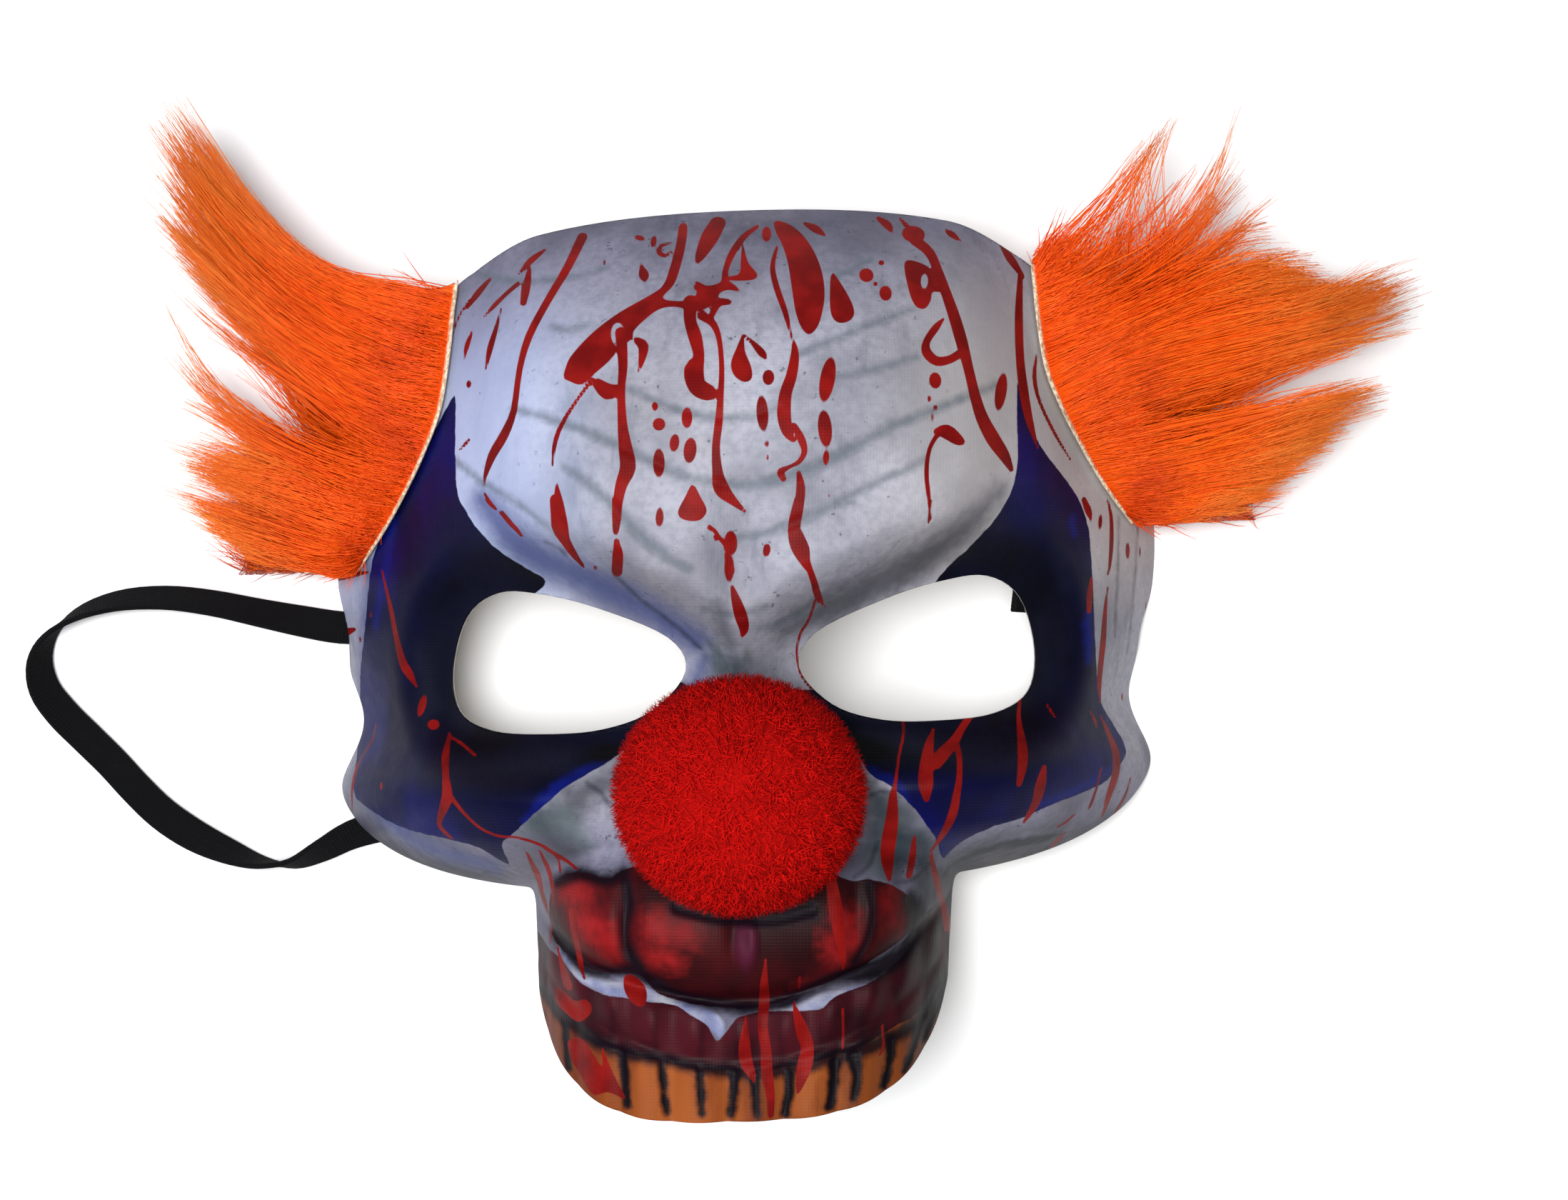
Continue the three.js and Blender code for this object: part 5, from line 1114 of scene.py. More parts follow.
def make_band(material):
    steps, ribs, per_rib = 4, 9, 3
    places, rolls = band_rows()
    line = catmull_rom(places, steps)
    turns = np.interp(np.arange(len(line)) / steps, np.arange(len(rolls)), rolls)
    turns = np.convolve(np.pad(turns, 3, mode="edge"), np.ones(7) / 7, mode="valid")
    along = np.gradient(line, axis=0)
    along /= np.linalg.norm(along, axis=1, keepdims=True)
    across = np.linspace(-1, 1, ribs * per_rib + 1)
    ridge = 0.12 * np.abs(np.sin(np.pi * ribs * (across + 1) / 2))
    edge = 0.25 * np.clip((np.abs(across) - 0.93) / 0.07, 0, 1)
    half = BAND_THICKNESS / 2 - 0.12 + ridge - edge
    profile = np.concatenate([
        np.stack([across * BAND_WIDTH / 2, -half], 1),
        np.stack([across[::-1] * BAND_WIDTH / 2, half[::-1]], 1),
    ])
    points = []
    for place, way, turn in zip(line, along, turns):
        level_way, upward = level_axes(way)
        flat = level_way * math.cos(turn) + upward * math.sin(turn)
        thick = np.cross(way, flat)
        points.append(place + profile[:, :1] * flat + profile[:, 1:] * thick)
    rings, sides = len(line), len(profile)
    k = np.arange(sides)
    triangles = []
    for i in range(rings - 1):
        a, b = i * sides + k, i * sides + (k + 1) % sides
        triangles += [np.stack([a, b, b + sides], 1), np.stack([a, b + sides, a + sides], 1)]
    for ring, flip in ((0, True), (rings - 1, False)):
        low = ring * sides + np.arange(sides // 2)
        high = ring * sides + sides - 1 - np.arange(sides // 2)
        caps = np.concatenate([
            np.stack([low[:-1], low[1:], high[1:]], 1),
            np.stack([low[:-1], high[1:], high[:-1]], 1),
        ])
        triangles.append(caps[:, ::-1] if flip else caps)
    band = mesh_object("elastic_band", to_frame(np.concatenate(points)), np.concatenate(triangles), material)
    lengths = np.concatenate([[0], np.cumsum(np.linalg.norm(np.diff(line, axis=0), axis=1))])
    add_values(band, "along", np.repeat(lengths, sides))
    add_values(band, "across", np.tile(profile[:, 0], rings))
    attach(band, "root")
    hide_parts("elastic_strap")
    return band


def elastic_material():
    elastic = Material("black_elastic", Roughness=0.75)
    elastic.shader.inputs["Specular IOR Level"].default_value = 0.12
    along, across = elastic.value("along"), elastic.value("across")
    knit = elastic.math("SINE", elastic.math("MULTIPLY", along, 2 * math.pi / 0.75))
    twill = elastic.math("SINE", elastic.math("ADD", elastic.math("MULTIPLY", along, 9.0),
                                              elastic.math("MULTIPLY", across, 16.0)))
    dust = elastic.ramp(elastic.noise(500, 3), 0.55, 0.8)
    colour = elastic.mix(elastic.ramp(twill, -1, 1), shade(3, 3, 5), shade(9, 9, 12))
    elastic.set("Base Color", elastic.mix(elastic.math("MULTIPLY", dust, 0.2), colour, shade(24, 24, 30)))
    elastic.bump(elastic.math("ADD", knit, twill), 0.5, 0.00012)
    return elastic.material


make_band(elastic_material())


def clipped_grid(spacing, inside):
    """Triangles of a grid over the front view, clipped where `inside` falls to 0."""
    xs = np.arange(-FACE_HALF_WIDTH - 4, FACE_HALF_WIDTH + 4, spacing)
    ys = np.arange(-FACE_DOWN - 6, FACE_UP + 6, spacing)
    x, y = (g.ravel() for g in np.meshgrid(xs, ys))
    value = inside(x, y)
    nx = len(xs)
    corner = (np.arange(len(ys) - 1)[:, None] * nx + np.arange(nx - 1)[None, :]).ravel()
    a, b, c, d = corner, corner + 1, corner + nx + 1, corner + nx
    mirrored = x[corner] < 0
    first = np.where(mirrored[:, None], np.stack([a, b, d], 1), np.stack([a, b, c], 1))
    second = np.where(mirrored[:, None], np.stack([b, c, d], 1), np.stack([a, c, d], 1))
    triangles = np.concatenate([first, second])
    count = (value[triangles] > 0).sum(1)
    kept = triangles[count == 3]
    single = turned_to(triangles[count == 1], value, 1)
    double = turned_to(triangles[count == 2], value, 2)
    edges = np.concatenate([single[:, [0, 1]], single[:, [0, 2]], double[:, [1, 2]], double[:, [0, 2]]])
    edges = np.unique(edges, axis=0)
    crossing = edge_roots(x, y, edges, inside)
    number = {tuple(edge): len(x) + i for i, edge in enumerate(edges.tolist())}
    ab, ac = (np.array([number[e] for e in map(tuple, single[:, pick].tolist())]) for pick in ([0, 1], [0, 2]))
    bc, dc = (np.array([number[e] for e in map(tuple, double[:, pick].tolist())]) for pick in ([1, 2], [0, 2]))
    triangles = np.concatenate([
        kept,
        np.stack([single[:, 0], ab, ac], 1),
        np.stack([double[:, 0], double[:, 1], bc], 1),
        np.stack([double[:, 0], bc, dc], 1),
    ])
    points = np.concatenate([np.stack([x, y], 1), crossing])
    used, triangles = np.unique(triangles, return_inverse=True)
    return points[used], triangles.reshape(-1, 3)


def turned_to(triangles, value, count):
    """Triangles turned so that the inside corners come first."""
    inside = value[triangles] > 0
    odd = np.argmax(inside == (count == 1), axis=1)
    start = odd if count == 1 else (odd + 1) % 3
    order = (start[:, None] + np.arange(3)) % 3
    return np.take_along_axis(triangles, order, 1)


def edge_roots(x, y, edges, inside):
    """Where `inside` falls to 0 on each edge from an inside point to an outside one."""
    start = np.stack([x[edges[:, 0]], y[edges[:, 0]]], 1)
    end = np.stack([x[edges[:, 1]], y[edges[:, 1]]], 1)
    low, high = np.zeros(len(edges)), np.ones(len(edges))
    for _ in range(12):
        middle = (low + high) / 2
        at = start + (end - start) * middle[:, None]
        good = inside(at[:, 0], at[:, 1]) > 0
        low, high = np.where(good, middle, low), np.where(good, high, middle)
    return start + (end - start) * low[:, None]


def shell_margin(x, y):
    """Positive on the shell: over the rim, inside the jaw's edge and outside the eye holes."""
    over_rim = face_height(x, y) - rim_height(x, y)
    holes = loop_distance(EYE_LOOP, np.abs(x), y - LEAN * x)
    return np.minimum(np.minimum(over_rim, jaw_margin(x, y)), holes)


def border_edges(triangles):
    directed = np.concatenate([triangles[:, [0, 1]], triangles[:, [1, 2]], triangles[:, [2, 0]]])
    _, first, uses = np.unique(np.sort(directed, 1), axis=0, return_index=True, return_counts=True)
    return directed[first[uses == 1]]


def closed_sheet(name, plan, triangles, top, bottom, material, under=None):
    """A closed sheet between two heights over one plan. Its points carry 1 on the top and 0 below."""
    count = len(plan)
    border = border_edges(triangles)
    lower = np.arange(count) + count
    on_border = np.zeros(count, bool)
    on_border[border.ravel()] = True
    lower[on_border & (top - bottom < 0.02)] -= count
    a, b = border.T
    strip = np.concatenate([np.stack([b, a, lower[a]], 1), np.stack([b, lower[a], lower[b]], 1)])
    under = triangles if under is None else under
    faces = np.concatenate([triangles, lower[under[:, ::-1]], strip])
    distinct = (faces[:, 0] != faces[:, 1]) & (faces[:, 1] != faces[:, 2]) & (faces[:, 0] != faces[:, 2])
    points = np.concatenate([np.column_stack([plan, top]), np.column_stack([plan, bottom])])
    used, faces = np.unique(faces[distinct], return_inverse=True)
    sheet = mesh_object(name, to_frame(points[used]), faces.reshape(-1, 3), material)
    add_values(sheet, "outside", (used < count).astype(float))
    return sheet, used % count


def coarse_underside(plan, triangles, spacing, inside):
    """The plan with a coarse grid added, and triangles that join that grid to the plan's border."""
    border = border_edges(triangles)
    rim, numbers = np.unique(border, return_inverse=True)
    xs = np.arange(-FACE_HALF_WIDTH - 4, FACE_HALF_WIDTH + 4, spacing)
    ys = np.arange(-FACE_DOWN - 6, FACE_UP + 6, spacing)
    grid = np.stack([g.ravel() for g in np.meshgrid(xs, ys)], 1)
    grid = grid[inside(grid[:, 0], grid[:, 1]) > 0.6 * spacing]
    numbered = np.concatenate([rim, len(plan) + np.arange(len(grid))])
    places = [Vector(place) for place in np.concatenate([plan[rim], grid]).tolist()]
    result = delaunay_2d_cdt(places, numbers.reshape(-1, 2).tolist(), [], 1, 1e-9)
    source = numbered[np.array([origin[0] for origin in result[3]])]
    under = source[np.array(result[2])]
    return np.concatenate([plan, grid]), under[within_border(under, border, len(plan))]


def within_border(triangles, border, first_inner):
    """Which triangles lie within the border: those that reach an inner point without crossing it."""
    sides = np.sort(np.concatenate([triangles[:, [0, 1]], triangles[:, [1, 2]], triangles[:, [2, 0]]]), 1)
    key = sides[:, 0] * 10**6 + sides[:, 1]
    closed = np.sort(border, 1)
    free = ~np.isin(key, closed[:, 0] * 10**6 + closed[:, 1])
    kept = (triangles >= first_inner).any(1)
    while True:
        reached = np.isin(key, key[free & np.tile(kept, 3)]).reshape(3, -1).any(0) | kept
        if (reached == kept).all():
            return kept
        kept = reached


def make_shell(spacing, material):
    plan, triangles = clipped_grid(spacing, shell_margin)
    plan, under = coarse_underside(plan, triangles, 3 * spacing, shell_margin)
    x, y = plan.T
    up = y - LEAN * x
    print_depths = {
        "blood": blood_depth(x, y),
        "navy": outline_depth(NAVY, x, y),
        "lip": outline_depth(LIP, x, y),
        "gum": outline_depth(GUM, x, y),
        "teeth": outline_depth(TEETH, x, y),
        "eye": loop_distance(EYE_LOOP, np.abs(x), y - LEAN * x),
        "nostril": drop_depth(NOSTRILS, x, y),
        "philtrum": drop_depth(PHILTRUM, x, y),
        # Painted shade: darker towards the forehead's top and over the lower face
        "top_and_lower_shade": smoothstep(46, 86, up) + smoothstep(-16, -40, up),
        # Painted light: bluish light over the left of the forehead, warmer light over its right
        "blue_light_left": smoothstep(-20, -50, x) * smoothstep(84, 56, up) * smoothstep(0, 22, up),
        "warm_light_right": smoothstep(18, 48, x) * smoothstep(92, 66, up) * smoothstep(0, 22, up),
        # Painted shade over the right side of the muzzle
        "muzzle_right_shade": smoothstep(2, 40, x) * smoothstep(-34, -48, up),
    }
    soft_marks = {"wrinkle": WRINKLES, "line": DARK_LINES, "blue": BLUE_EDGES, "sheen": SHEEN, "teal": TEAL,
                  "lip_highlight": RED_LIP_HIGHLIGHTS, "mouth": MOUTH_DARK, "gap": TOOTH_GAPS, "pale": WHITE_BAND, "lilac": LILAC,
                  "shade": SHADE, "under": CHEEK_SHADE, "lobe": GUM_LOBES}
    for name, strokes in soft_marks.items():
        print_depths[name] = stroke_depth(strokes, x, y)
    outer = face_height(x, y)
    outer -= FOLD_DEPTH * smoothstep(-1, 0.8, print_depths["wrinkle"])
    outer -= TOOTH_GAP_DEPTH * smoothstep(-0.7, 0.4, print_depths["gap"])
    outer -= MOUTH_LINE_DEPTH * smoothstep(-0.9, 0.5, print_depths["mouth"])
    outer += PHILTRUM_PAD * smoothstep(-0.8, 1.2, print_depths["philtrum"])
    inner = np.minimum(np.maximum(parallel_height(x, y, -WALL), rim_height(x, y)), outer)
    shell, column_of = closed_sheet("printed_shell", plan, triangles, outer, inner, material, under)
    for name, depth in print_depths.items():
        add_values(shell, name, depth[column_of])
    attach(shell, "root")
    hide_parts("mask_shell")
    return shell


class PrintMaterial(Material):
    """The printed cloth of the shell, painted by the charted depths on its mesh."""

    def paint(self, colour, name, paint, soft=0.12, strength=1.0, wobble=0.0, grow=0.0):
        depth = self.value(name)
        if grow:
            depth = self.math("ADD", depth, grow)
        if wobble:
            uneven = self.math("MULTIPLY", self.math("SUBTRACT", self.noise(420, 3), 0.5), wobble)
            depth = self.math("ADD", depth, uneven)
        share = self.ramp(depth, -soft, soft)
        if strength != 1:
            share = self.math("MULTIPLY", share, strength)
        return self.mix(share, colour, paint)

    def between(self, scale, first, second, low=0.35, high=0.65, detail=4, vector=None):
        return self.mix(self.ramp(self.noise(scale, detail, vector=vector), low, high), first, second)


def print_material():
    cloth = PrintMaterial("printed_shell", Roughness=0.55)
    shader = cloth.shader.inputs
    shader["Specular IOR Level"].default_value = 0.07
    streaks = cloth.stretched((1, 0.25, 1))

    grey = cloth.between(38, shade(120, 120, 131), shade(162, 162, 174))
    stain = cloth.ramp(cloth.noise(30, 3), 0.5, 0.75)
    grey = cloth.mix(cloth.math("MULTIPLY", stain, 0.5), grey, shade(138, 130, 130))
    smudge = cloth.ramp(cloth.noise(95, 5, 0.65, streaks), 0.52, 0.72)
    grey = cloth.mix(cloth.math("MULTIPLY", smudge, 0.6), grey, shade(86, 90, 102))
    grain = cloth.ramp(cloth.noise(640, 3, 0.6), 0.35, 0.7)
    grey = cloth.mix(cloth.math("MULTIPLY", grain, 0.3), grey, shade(98, 100, 112))
    speck = cloth.ramp(cloth.noise(520, 2, 0.6), 0.68, 0.73)
    grey = cloth.mix(cloth.math("MULTIPLY", speck, 0.6), grey, shade(58, 60, 72))
    # Painted light: bluish over the left of the forehead, warmer over its right
    grey = cloth.mix(cloth.math("MULTIPLY", cloth.value("blue_light_left"), 0.65), grey, shade(170, 182, 218))
    grey = cloth.mix(cloth.math("MULTIPLY", cloth.value("warm_light_right"), 0.45), grey, shade(192, 186, 182))
    # Painted shade towards the forehead's top and over the lower face
    grey = cloth.mix(cloth.math("MULTIPLY", cloth.value("top_and_lower_shade"), 0.8), grey, shade(168, 164, 184), "MULTIPLY")
    # Painted shade: grey under the brows, on the nose bridge and beside the muzzle, darker under the cheeks, blue-grey
    # under the left brow and down the left side
    grey = cloth.paint(grey, "shade", cloth.between(60, shade(46, 46, 54), shade(68, 68, 78)), soft=3.0,
                       strength=0.8, wobble=2.5)
    grey = cloth.paint(grey, "under", shade(30, 32, 42), soft=4.0, strength=0.8, wobble=3.0)
    grey = cloth.paint(grey, "lilac", shade(62, 72, 122), soft=3.0, strength=0.85, wobble=2.0)
    grey = cloth.paint(grey, "wrinkle", shade(82, 92, 100), soft=1.1, strength=0.72, wobble=1.8)
    # Painted grey-green shade on the nose bridge, around the muzzle and under the right cheek
    grey = cloth.paint(grey, "teal", cloth.between(70, shade(44, 56, 62), shade(86, 96, 100)), soft=2.2,
                       strength=0.8, wobble=3.0)
    grey = cloth.paint(grey, "line", shade(30, 36, 46), soft=0.7, strength=0.85, wobble=0.8)
    grey = cloth.paint(grey, "pale", cloth.between(120, shade(108, 114, 150), shade(164, 165, 178)), soft=0.5,
                       grow=-0.35, wobble=0.8)

    far = cloth.ramp(cloth.value("eye"), 5, 22)
    navy = cloth.mix(far, cloth.between(60, shade(3, 4, 12), shade(7, 8, 26)),
                     cloth.between(45, shade(5, 5, 48), shade(7, 9, 78)))
    navy = cloth.paint(navy, "sheen", shade(22, 25, 42), soft=3.0, strength=0.5, wobble=2.0)
    navy = cloth.paint(navy, "blue", shade(8, 22, 108), soft=1.2, strength=0.7, wobble=1.8)
    navy = cloth.paint(navy, "nostril", shade(3, 3, 6), soft=1.0)

    tooth = cloth.between(70, shade(96, 40, 15), shade(142, 74, 32), vector=cloth.stretched((1, 0.2, 0.2)))
    stained = cloth.ramp(cloth.noise(160, 4, 0.6, cloth.stretched((1, 0.3, 0.3))), 0.5, 0.75)
    tooth = cloth.mix(cloth.math("MULTIPLY", stained, 0.6), tooth, shade(70, 26, 12))
    tooth = cloth.paint(tooth, "gap", shade(14, 9, 15), soft=0.6, wobble=1.2, grow=0.7)
    gum = cloth.between(80, shade(38, 8, 15), shade(64, 15, 24))
    gum = cloth.paint(gum, "lobe", shade(20, 6, 14), soft=1.3, strength=0.8, wobble=0.8)
    lip = cloth.between(60, shade(32, 4, 7), shade(60, 7, 11))
    # Painted highlights: bright red patches on the dark red lip
    lip = cloth.paint(lip, "lip_highlight", cloth.between(90, shade(124, 13, 17), shade(158, 28, 30)), soft=3.8, strength=0.8,
                      wobble=5.0)
    lip = cloth.paint(lip, "philtrum", shade(76, 24, 46), soft=0.9, strength=0.7)

    colour = cloth.paint(grey, "navy", navy, wobble=0.5)
    colour = cloth.paint(colour, "teeth", tooth)
    colour = cloth.paint(colour, "gum", gum, wobble=0.5, grow=0.5)
    colour = cloth.paint(colour, "lip", lip, wobble=0.6, grow=0.5)
    colour = cloth.paint(colour, "mouth", shade(12, 5, 14), soft=1.0, strength=0.94, wobble=1.2, grow=0.9)
    # Painted shade: the right side of the muzzle darkened
    muzzle_shade = cloth.math("MULTIPLY", cloth.value("muzzle_right_shade"), 0.75)
    colour = cloth.mix(muzzle_shade, colour, shade(150, 142, 146), "MULTIPLY")
    blood = cloth.between(140, shade(96, 7, 7), shade(124, 15, 12))
    colour = cloth.paint(colour, "blood", blood, soft=0.1)
    backing = cloth.between(300, shade(196, 190, 180), shade(222, 217, 208))
    colour = cloth.mix(cloth.ramp(cloth.value("outside"), 0.3, 0.7), backing, colour)
    cloth.set("Base Color", colour)
    cloth.set("Roughness", cloth.node("ShaderNodeMapRange", {0: cloth.noise(210, 3), 3: 0.42, 4: 0.62}).outputs[0])
    threads = [
        cloth.node("ShaderNodeTexWave", {"Vector": cloth.place(), "Scale": 520, "Distortion": 0.6,
                                         "Detail Scale": 2.0}, bands_direction=way).outputs["Fac"]
        for way in ("X", "Y")
    ]
    cloth.bump(cloth.math("ADD", *threads), 0.12, 0.00012)
    cloth.bump(cloth.noise(900, 3), 0.1, 0.0002)
    cloth.bump(cloth.noise(60, 3), 0.15, 0.0006)
    return cloth.material


make_shell(0.54, print_material())


def hair_mesh(name, lines, shares, radius, material, blunt=False, **values):
    """Tapered three-sided hairs along lines, an array of hairs by stations by places, with a pointed or cut end."""
    hairs, stations, _ = lines.shape
    along = np.gradient(lines, axis=1)
    along /= np.linalg.norm(along, axis=2, keepdims=True) + 1e-12
    side = np.cross(along, [0.31, 0.17, 0.93])
    side /= np.linalg.norm(side, axis=2, keepdims=True) + 1e-12
    other = np.cross(along, side)
    taper = 1 - 0.7 * np.linspace(0, 1, stations) ** 2
    rings = []
    for k in range(3):
        angle = 2 * math.pi * k / 3
        spoke = math.cos(angle) * side + math.sin(angle) * other
        rings.append(lines + spoke * taper[None, :, None] * np.asarray(radius)[:, None, None])
    spans = stations - 1 if blunt else stations - 2
    body = np.stack(rings, 2)[:, :spans + 1].reshape(hairs, -1, 3)
    points = body if blunt else np.concatenate([body, lines[:, -1:]], 1)
    per_hair = points.shape[1]
    pattern = []
    for i in range(spans):
        for k in range(3):
            a, b = 3 * i + k, 3 * i + (k + 1) % 3
            pattern += [(a, b, b + 3), (a, b + 3, a + 3)]
    last = 3 * spans
    if blunt:
        pattern.append((last, last + 1, last + 2))
    else:
        pattern += [(last + k, last + (k + 1) % 3, per_hair - 1) for k in range(3)]
    pattern.append((0, 2, 1))
    triangles = (np.array(pattern)[None] + per_hair * np.arange(hairs)[:, None, None]).reshape(-1, 3)
    piece = mesh_object(name, to_frame(points.reshape(-1, 3)), triangles, material)
    along_hair = np.repeat(shares, 3, 1)[:, :per_hair] if blunt else \
        np.concatenate([np.repeat(shares[:, :-1], 3, 1), shares[:, -1:]], 1)
    add_values(piece, "along", along_hair)
    for key, value in values.items():
        add_values(piece, key, np.repeat(value, per_hair))
    return piece


def patch_front(up):
    return FACE_HALF_WIDTH * column(PATCH_EDGE, 1, up)


def pile_height(x, y):
    behind = np.abs(x) - patch_front(y - LEAN * x - np.sign(x) * PATCH_SHIFT)
    return GAP + BACKING + (PILE - BACKING) * smoothstep(0, PILE_RAMP, behind)


def flow_row(flow, position):
    """Values of the flow table at places between its rows."""
    k = np.minimum(position.astype(int), len(flow) - 2)
    t = (position - k)[:, None]
    return flow[k] * (1 - t) + flow[k + 1] * t


def patch_root(side, up, behind):
    x = side * (patch_front(up) + behind)
    y = up + side * PATCH_SHIFT + LEAN * x
    under = parallel_height(x, y, np.full(len(x), GAP + BACKING / 2))
    return np.column_stack([x, y, np.maximum(under, rim_height(x, y) + PATCH_SEAT)])


def flow_places(side, row):
    """The four places that a flow line passes, from the front edge of the patch."""
    start = patch_root(side, row[:, 0] * FACE_UP, np.zeros(len(row)))
    start[:, 2] = np.maximum(start[:, 2] + 1, 20)
    fall = start[:, 2] * (row[:, 7] - 1)
    first = np.column_stack([row[:, 1:3], start[:, 2] + 2 + fall / 3])
    second = np.column_stack([row[:, 3:5], start[:, 2] + 2 + fall * 2 / 3])
    tip = np.column_stack([row[:, 5:7], start[:, 2] + 2 + fall])
    return start, first, second, tip


def on_flow(places, share):
    """Points on the curve through four places, at shares of its length: lines by stations."""
    u = 3 * share[:, :, None]
    start, first, second, tip = (place[:, None] for place in places)
    near = start * (1 - u) * (2 - u) * (3 - u) / 6 + first * u * (2 - u) * (3 - u) / 2
    return near + second * u * (u - 1) * (3 - u) / 2 + tip * u * (u - 1) * (u - 2) / 6


def tuft_lines(side, flow, hairs, stations):
    """Lines of hairs that grow all over the patch and gather into wisps along its flow."""
    last = len(flow) - 1
    grid = np.linspace(0, last, 400)
    weight = np.cumsum(flow_row(flow, grid)[:, 8])
    wisp_place = np.interp(random.uniform(0, weight[-1], WISPS), weight, grid)
    wisp_reach = 1 - 0.22 * random.uniform(0, 1, WISPS) ** 2.5
    wisp_shift = random.normal(0, 1, (WISPS, 3)) * WISP_SHIFT
    wisp_bow = random.normal(0, 1, (WISPS, 2)) * WISP_BOW
    wisp = random.integers(0, WISPS, hairs)
    short = random.uniform(0, 1, hairs) < SHORT_SHARE

    gathered = wisp_place[wisp] + random.normal(0, 0.35, hairs)
    place = np.clip(np.where(short, random.uniform(0, last, hairs), gathered), 0, last)
    up = np.clip(flow_row(flow, place)[:, 0] + random.normal(0, 0.012, hairs), 0.255, 0.955) * FACE_UP
    behind = 0.2 + random.uniform(0, 1, hairs) ** np.where(short, 2.2, 1.5) * 0.9 * PATCH_REAR
    root = patch_root(side, up, behind)
    places = flow_places(side, flow_row(flow, np.where(short, place, wisp_place[wisp])))
    step = np.linalg.norm((places[1] - places[0])[:, :2], axis=1)
    start = np.minimum(behind / (3 * step), 0.4)

    t = np.linspace(0, 1, stations)[None, :]
    long_reach = random.uniform(0.8, 1.03, hairs) * wisp_reach[wisp]
    reach = np.where(short, start + random.uniform(0.1, 0.32, hairs), np.maximum(long_reach, start + 0.2))
    share = start[:, None] + (reach - start)[:, None] * t
    lines = on_flow(places, share)
    offset = (root - lines[:, 0])[:, None]
    fade = np.where(short[:, None], 1 - 0.25 * t, (1 - t) ** 1.4)[:, :, None]
    sink = np.where(short[:, None], 1 - 0.6 * t, 1 - 0.9 * t)
    lines[:, :, :2] += offset[:, :, :2] * fade
    lines[:, :, 2] += offset[:, :, 2] * sink
    frizz = random.normal(0, 1, (hairs, 3)) * np.where(short[:, None], SHORT_FRIZZ, LONG_FRIZZ)
    lines += (frizz + wisp_shift[wisp] * ~short[:, None])[:, None] * t[:, :, None] ** 1.3
    wave = np.sin(2.6 * math.pi * share + wisp[:, None]) * t
    lines[:, :, :2] += wave[:, :, None] * wisp_bow[wisp][:, None]
    lines[:, :, 2] = np.maximum(lines[:, :, 2], FUR_CLEAR)
    return lines, share, wisp / WISPS


def ride_fur(piece, word):
    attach(piece, "root")
    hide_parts(word + "_fur_tuft")


def make_tuft(side, flow, word, material):
    for layer in range(FUR_LAYERS):
        lines, share, wisp = tuft_lines(side, flow, HAIRS_PER_LAYER, 6)
        count = len(lines)
        tint = 0.55 * random.uniform(0, 1, count) + 0.45 * (wisp * 7.3 % 1)
        radius = random.uniform(HAIR_THIN, HAIR_THICK, count)
        layer_name = f"{word}_fur_{layer + 1}"
        ride_fur(hair_mesh(layer_name, lines, share, radius, material, blunt=True, tint=tint), word)


def make_underfur(side, flow, word, material):
    """The dense mass under the long hairs, which ends ragged on the way."""
    columns, rows = 12 * (len(flow) - 1) + 1, 22
    row = flow_row(flow, np.linspace(0, len(flow) - 1, columns))
    reach = 0.18 + 0.34 * row[:, 8] + random.uniform(-0.07, 0.07, columns)
    t = np.linspace(0, 1, rows)[None, :]
    share = UNDERFUR_START + (reach[:, None] - UNDERFUR_START) * t
    points = on_flow(flow_places(side, row), share)
    thick = UNDERFUR_DEPTH * smoothstep(0, 0.3, t) * (1 - smoothstep(0.7, 1, t)) + 0 * share
    thick[[0, -1]] = 0
    i, j = (g.ravel() for g in np.meshgrid(np.arange(columns - 1), np.arange(rows - 1), indexing="ij"))
    a = i * rows + j
    triangles = np.concatenate([np.stack([a, a + rows, a + rows + 1], 1), np.stack([a, a + rows + 1, a + 1], 1)])
    if side < 0:
        triangles = triangles[:, ::-1]
    points = points.reshape(-1, 3)
    top = points[:, 2] - UNDERFUR_SINK
    bottom = top - thick.ravel()
    mass, column_of = closed_sheet(word + "_underfur", points[:, :2], triangles, top, bottom, material)
    add_values(mass, "along", share.ravel()[column_of])
    add_values(mass, "tint", np.repeat(random.uniform(0, 1, columns), rows)[column_of])
    ride_fur(mass, word)


def patch_margin(side):
    """How far points lie inside the patch of a tuft and over its floor."""
    low, high = level(PATCH_EDGE[0, 0]), level(PATCH_EDGE[-1, 0])

    def margin(x, y):
        up = y - LEAN * x - side * PATCH_SHIFT
        behind = side * x - patch_front(up)
        over_floor = parallel_height(x, y, pile_height(x, y)) - rim_height(x, y) - PATCH_SEAT
        return np.minimum.reduce([behind, PATCH_REAR - behind, up - low, high - up, over_floor])

    return margin


def make_mat(side, word, material):
    """The woven backing of a tuft with its short dense pile."""
    plan, triangles = clipped_grid(0.8, patch_margin(side))
    x, y = plan.T
    behind = side * x - patch_front(y - LEAN * x - side * PATCH_SHIFT)
    pile = GAP + BACKING + 0.7 * (pile_height(x, y) - GAP - BACKING) * smoothstep(0.8, 4, behind)
    floor = rim_height(x, y) + PATCH_SEAT
    bottom = np.maximum(parallel_height(x, y, GAP), floor)
    top = np.maximum(parallel_height(x, y, pile), bottom)
    mat, column_of = closed_sheet(word + "_fur_backing", plan, triangles, top, bottom, material)
    add_values(mat, "behind", behind[column_of])
    ride_fur(mat, word)


WISPS = 150
WISP_SHIFT = np.array([1.2, 1.2, 2.6])
WISP_BOW = 0.9
SHORT_SHARE = 0.32
SHORT_FRIZZ = np.array([1.6, 1.6, 2.2])
LONG_FRIZZ = np.array([0.6, 0.6, 1.2])
HAIR_THIN, HAIR_THICK = 0.08, 0.15
FUR_LAYERS = 2
HAIRS_PER_LAYER = 4500
FUR_CLEAR = 1.5
UNDERFUR_START = 0.07
UNDERFUR_DEPTH = 3
UNDERFUR_SINK = 3.5


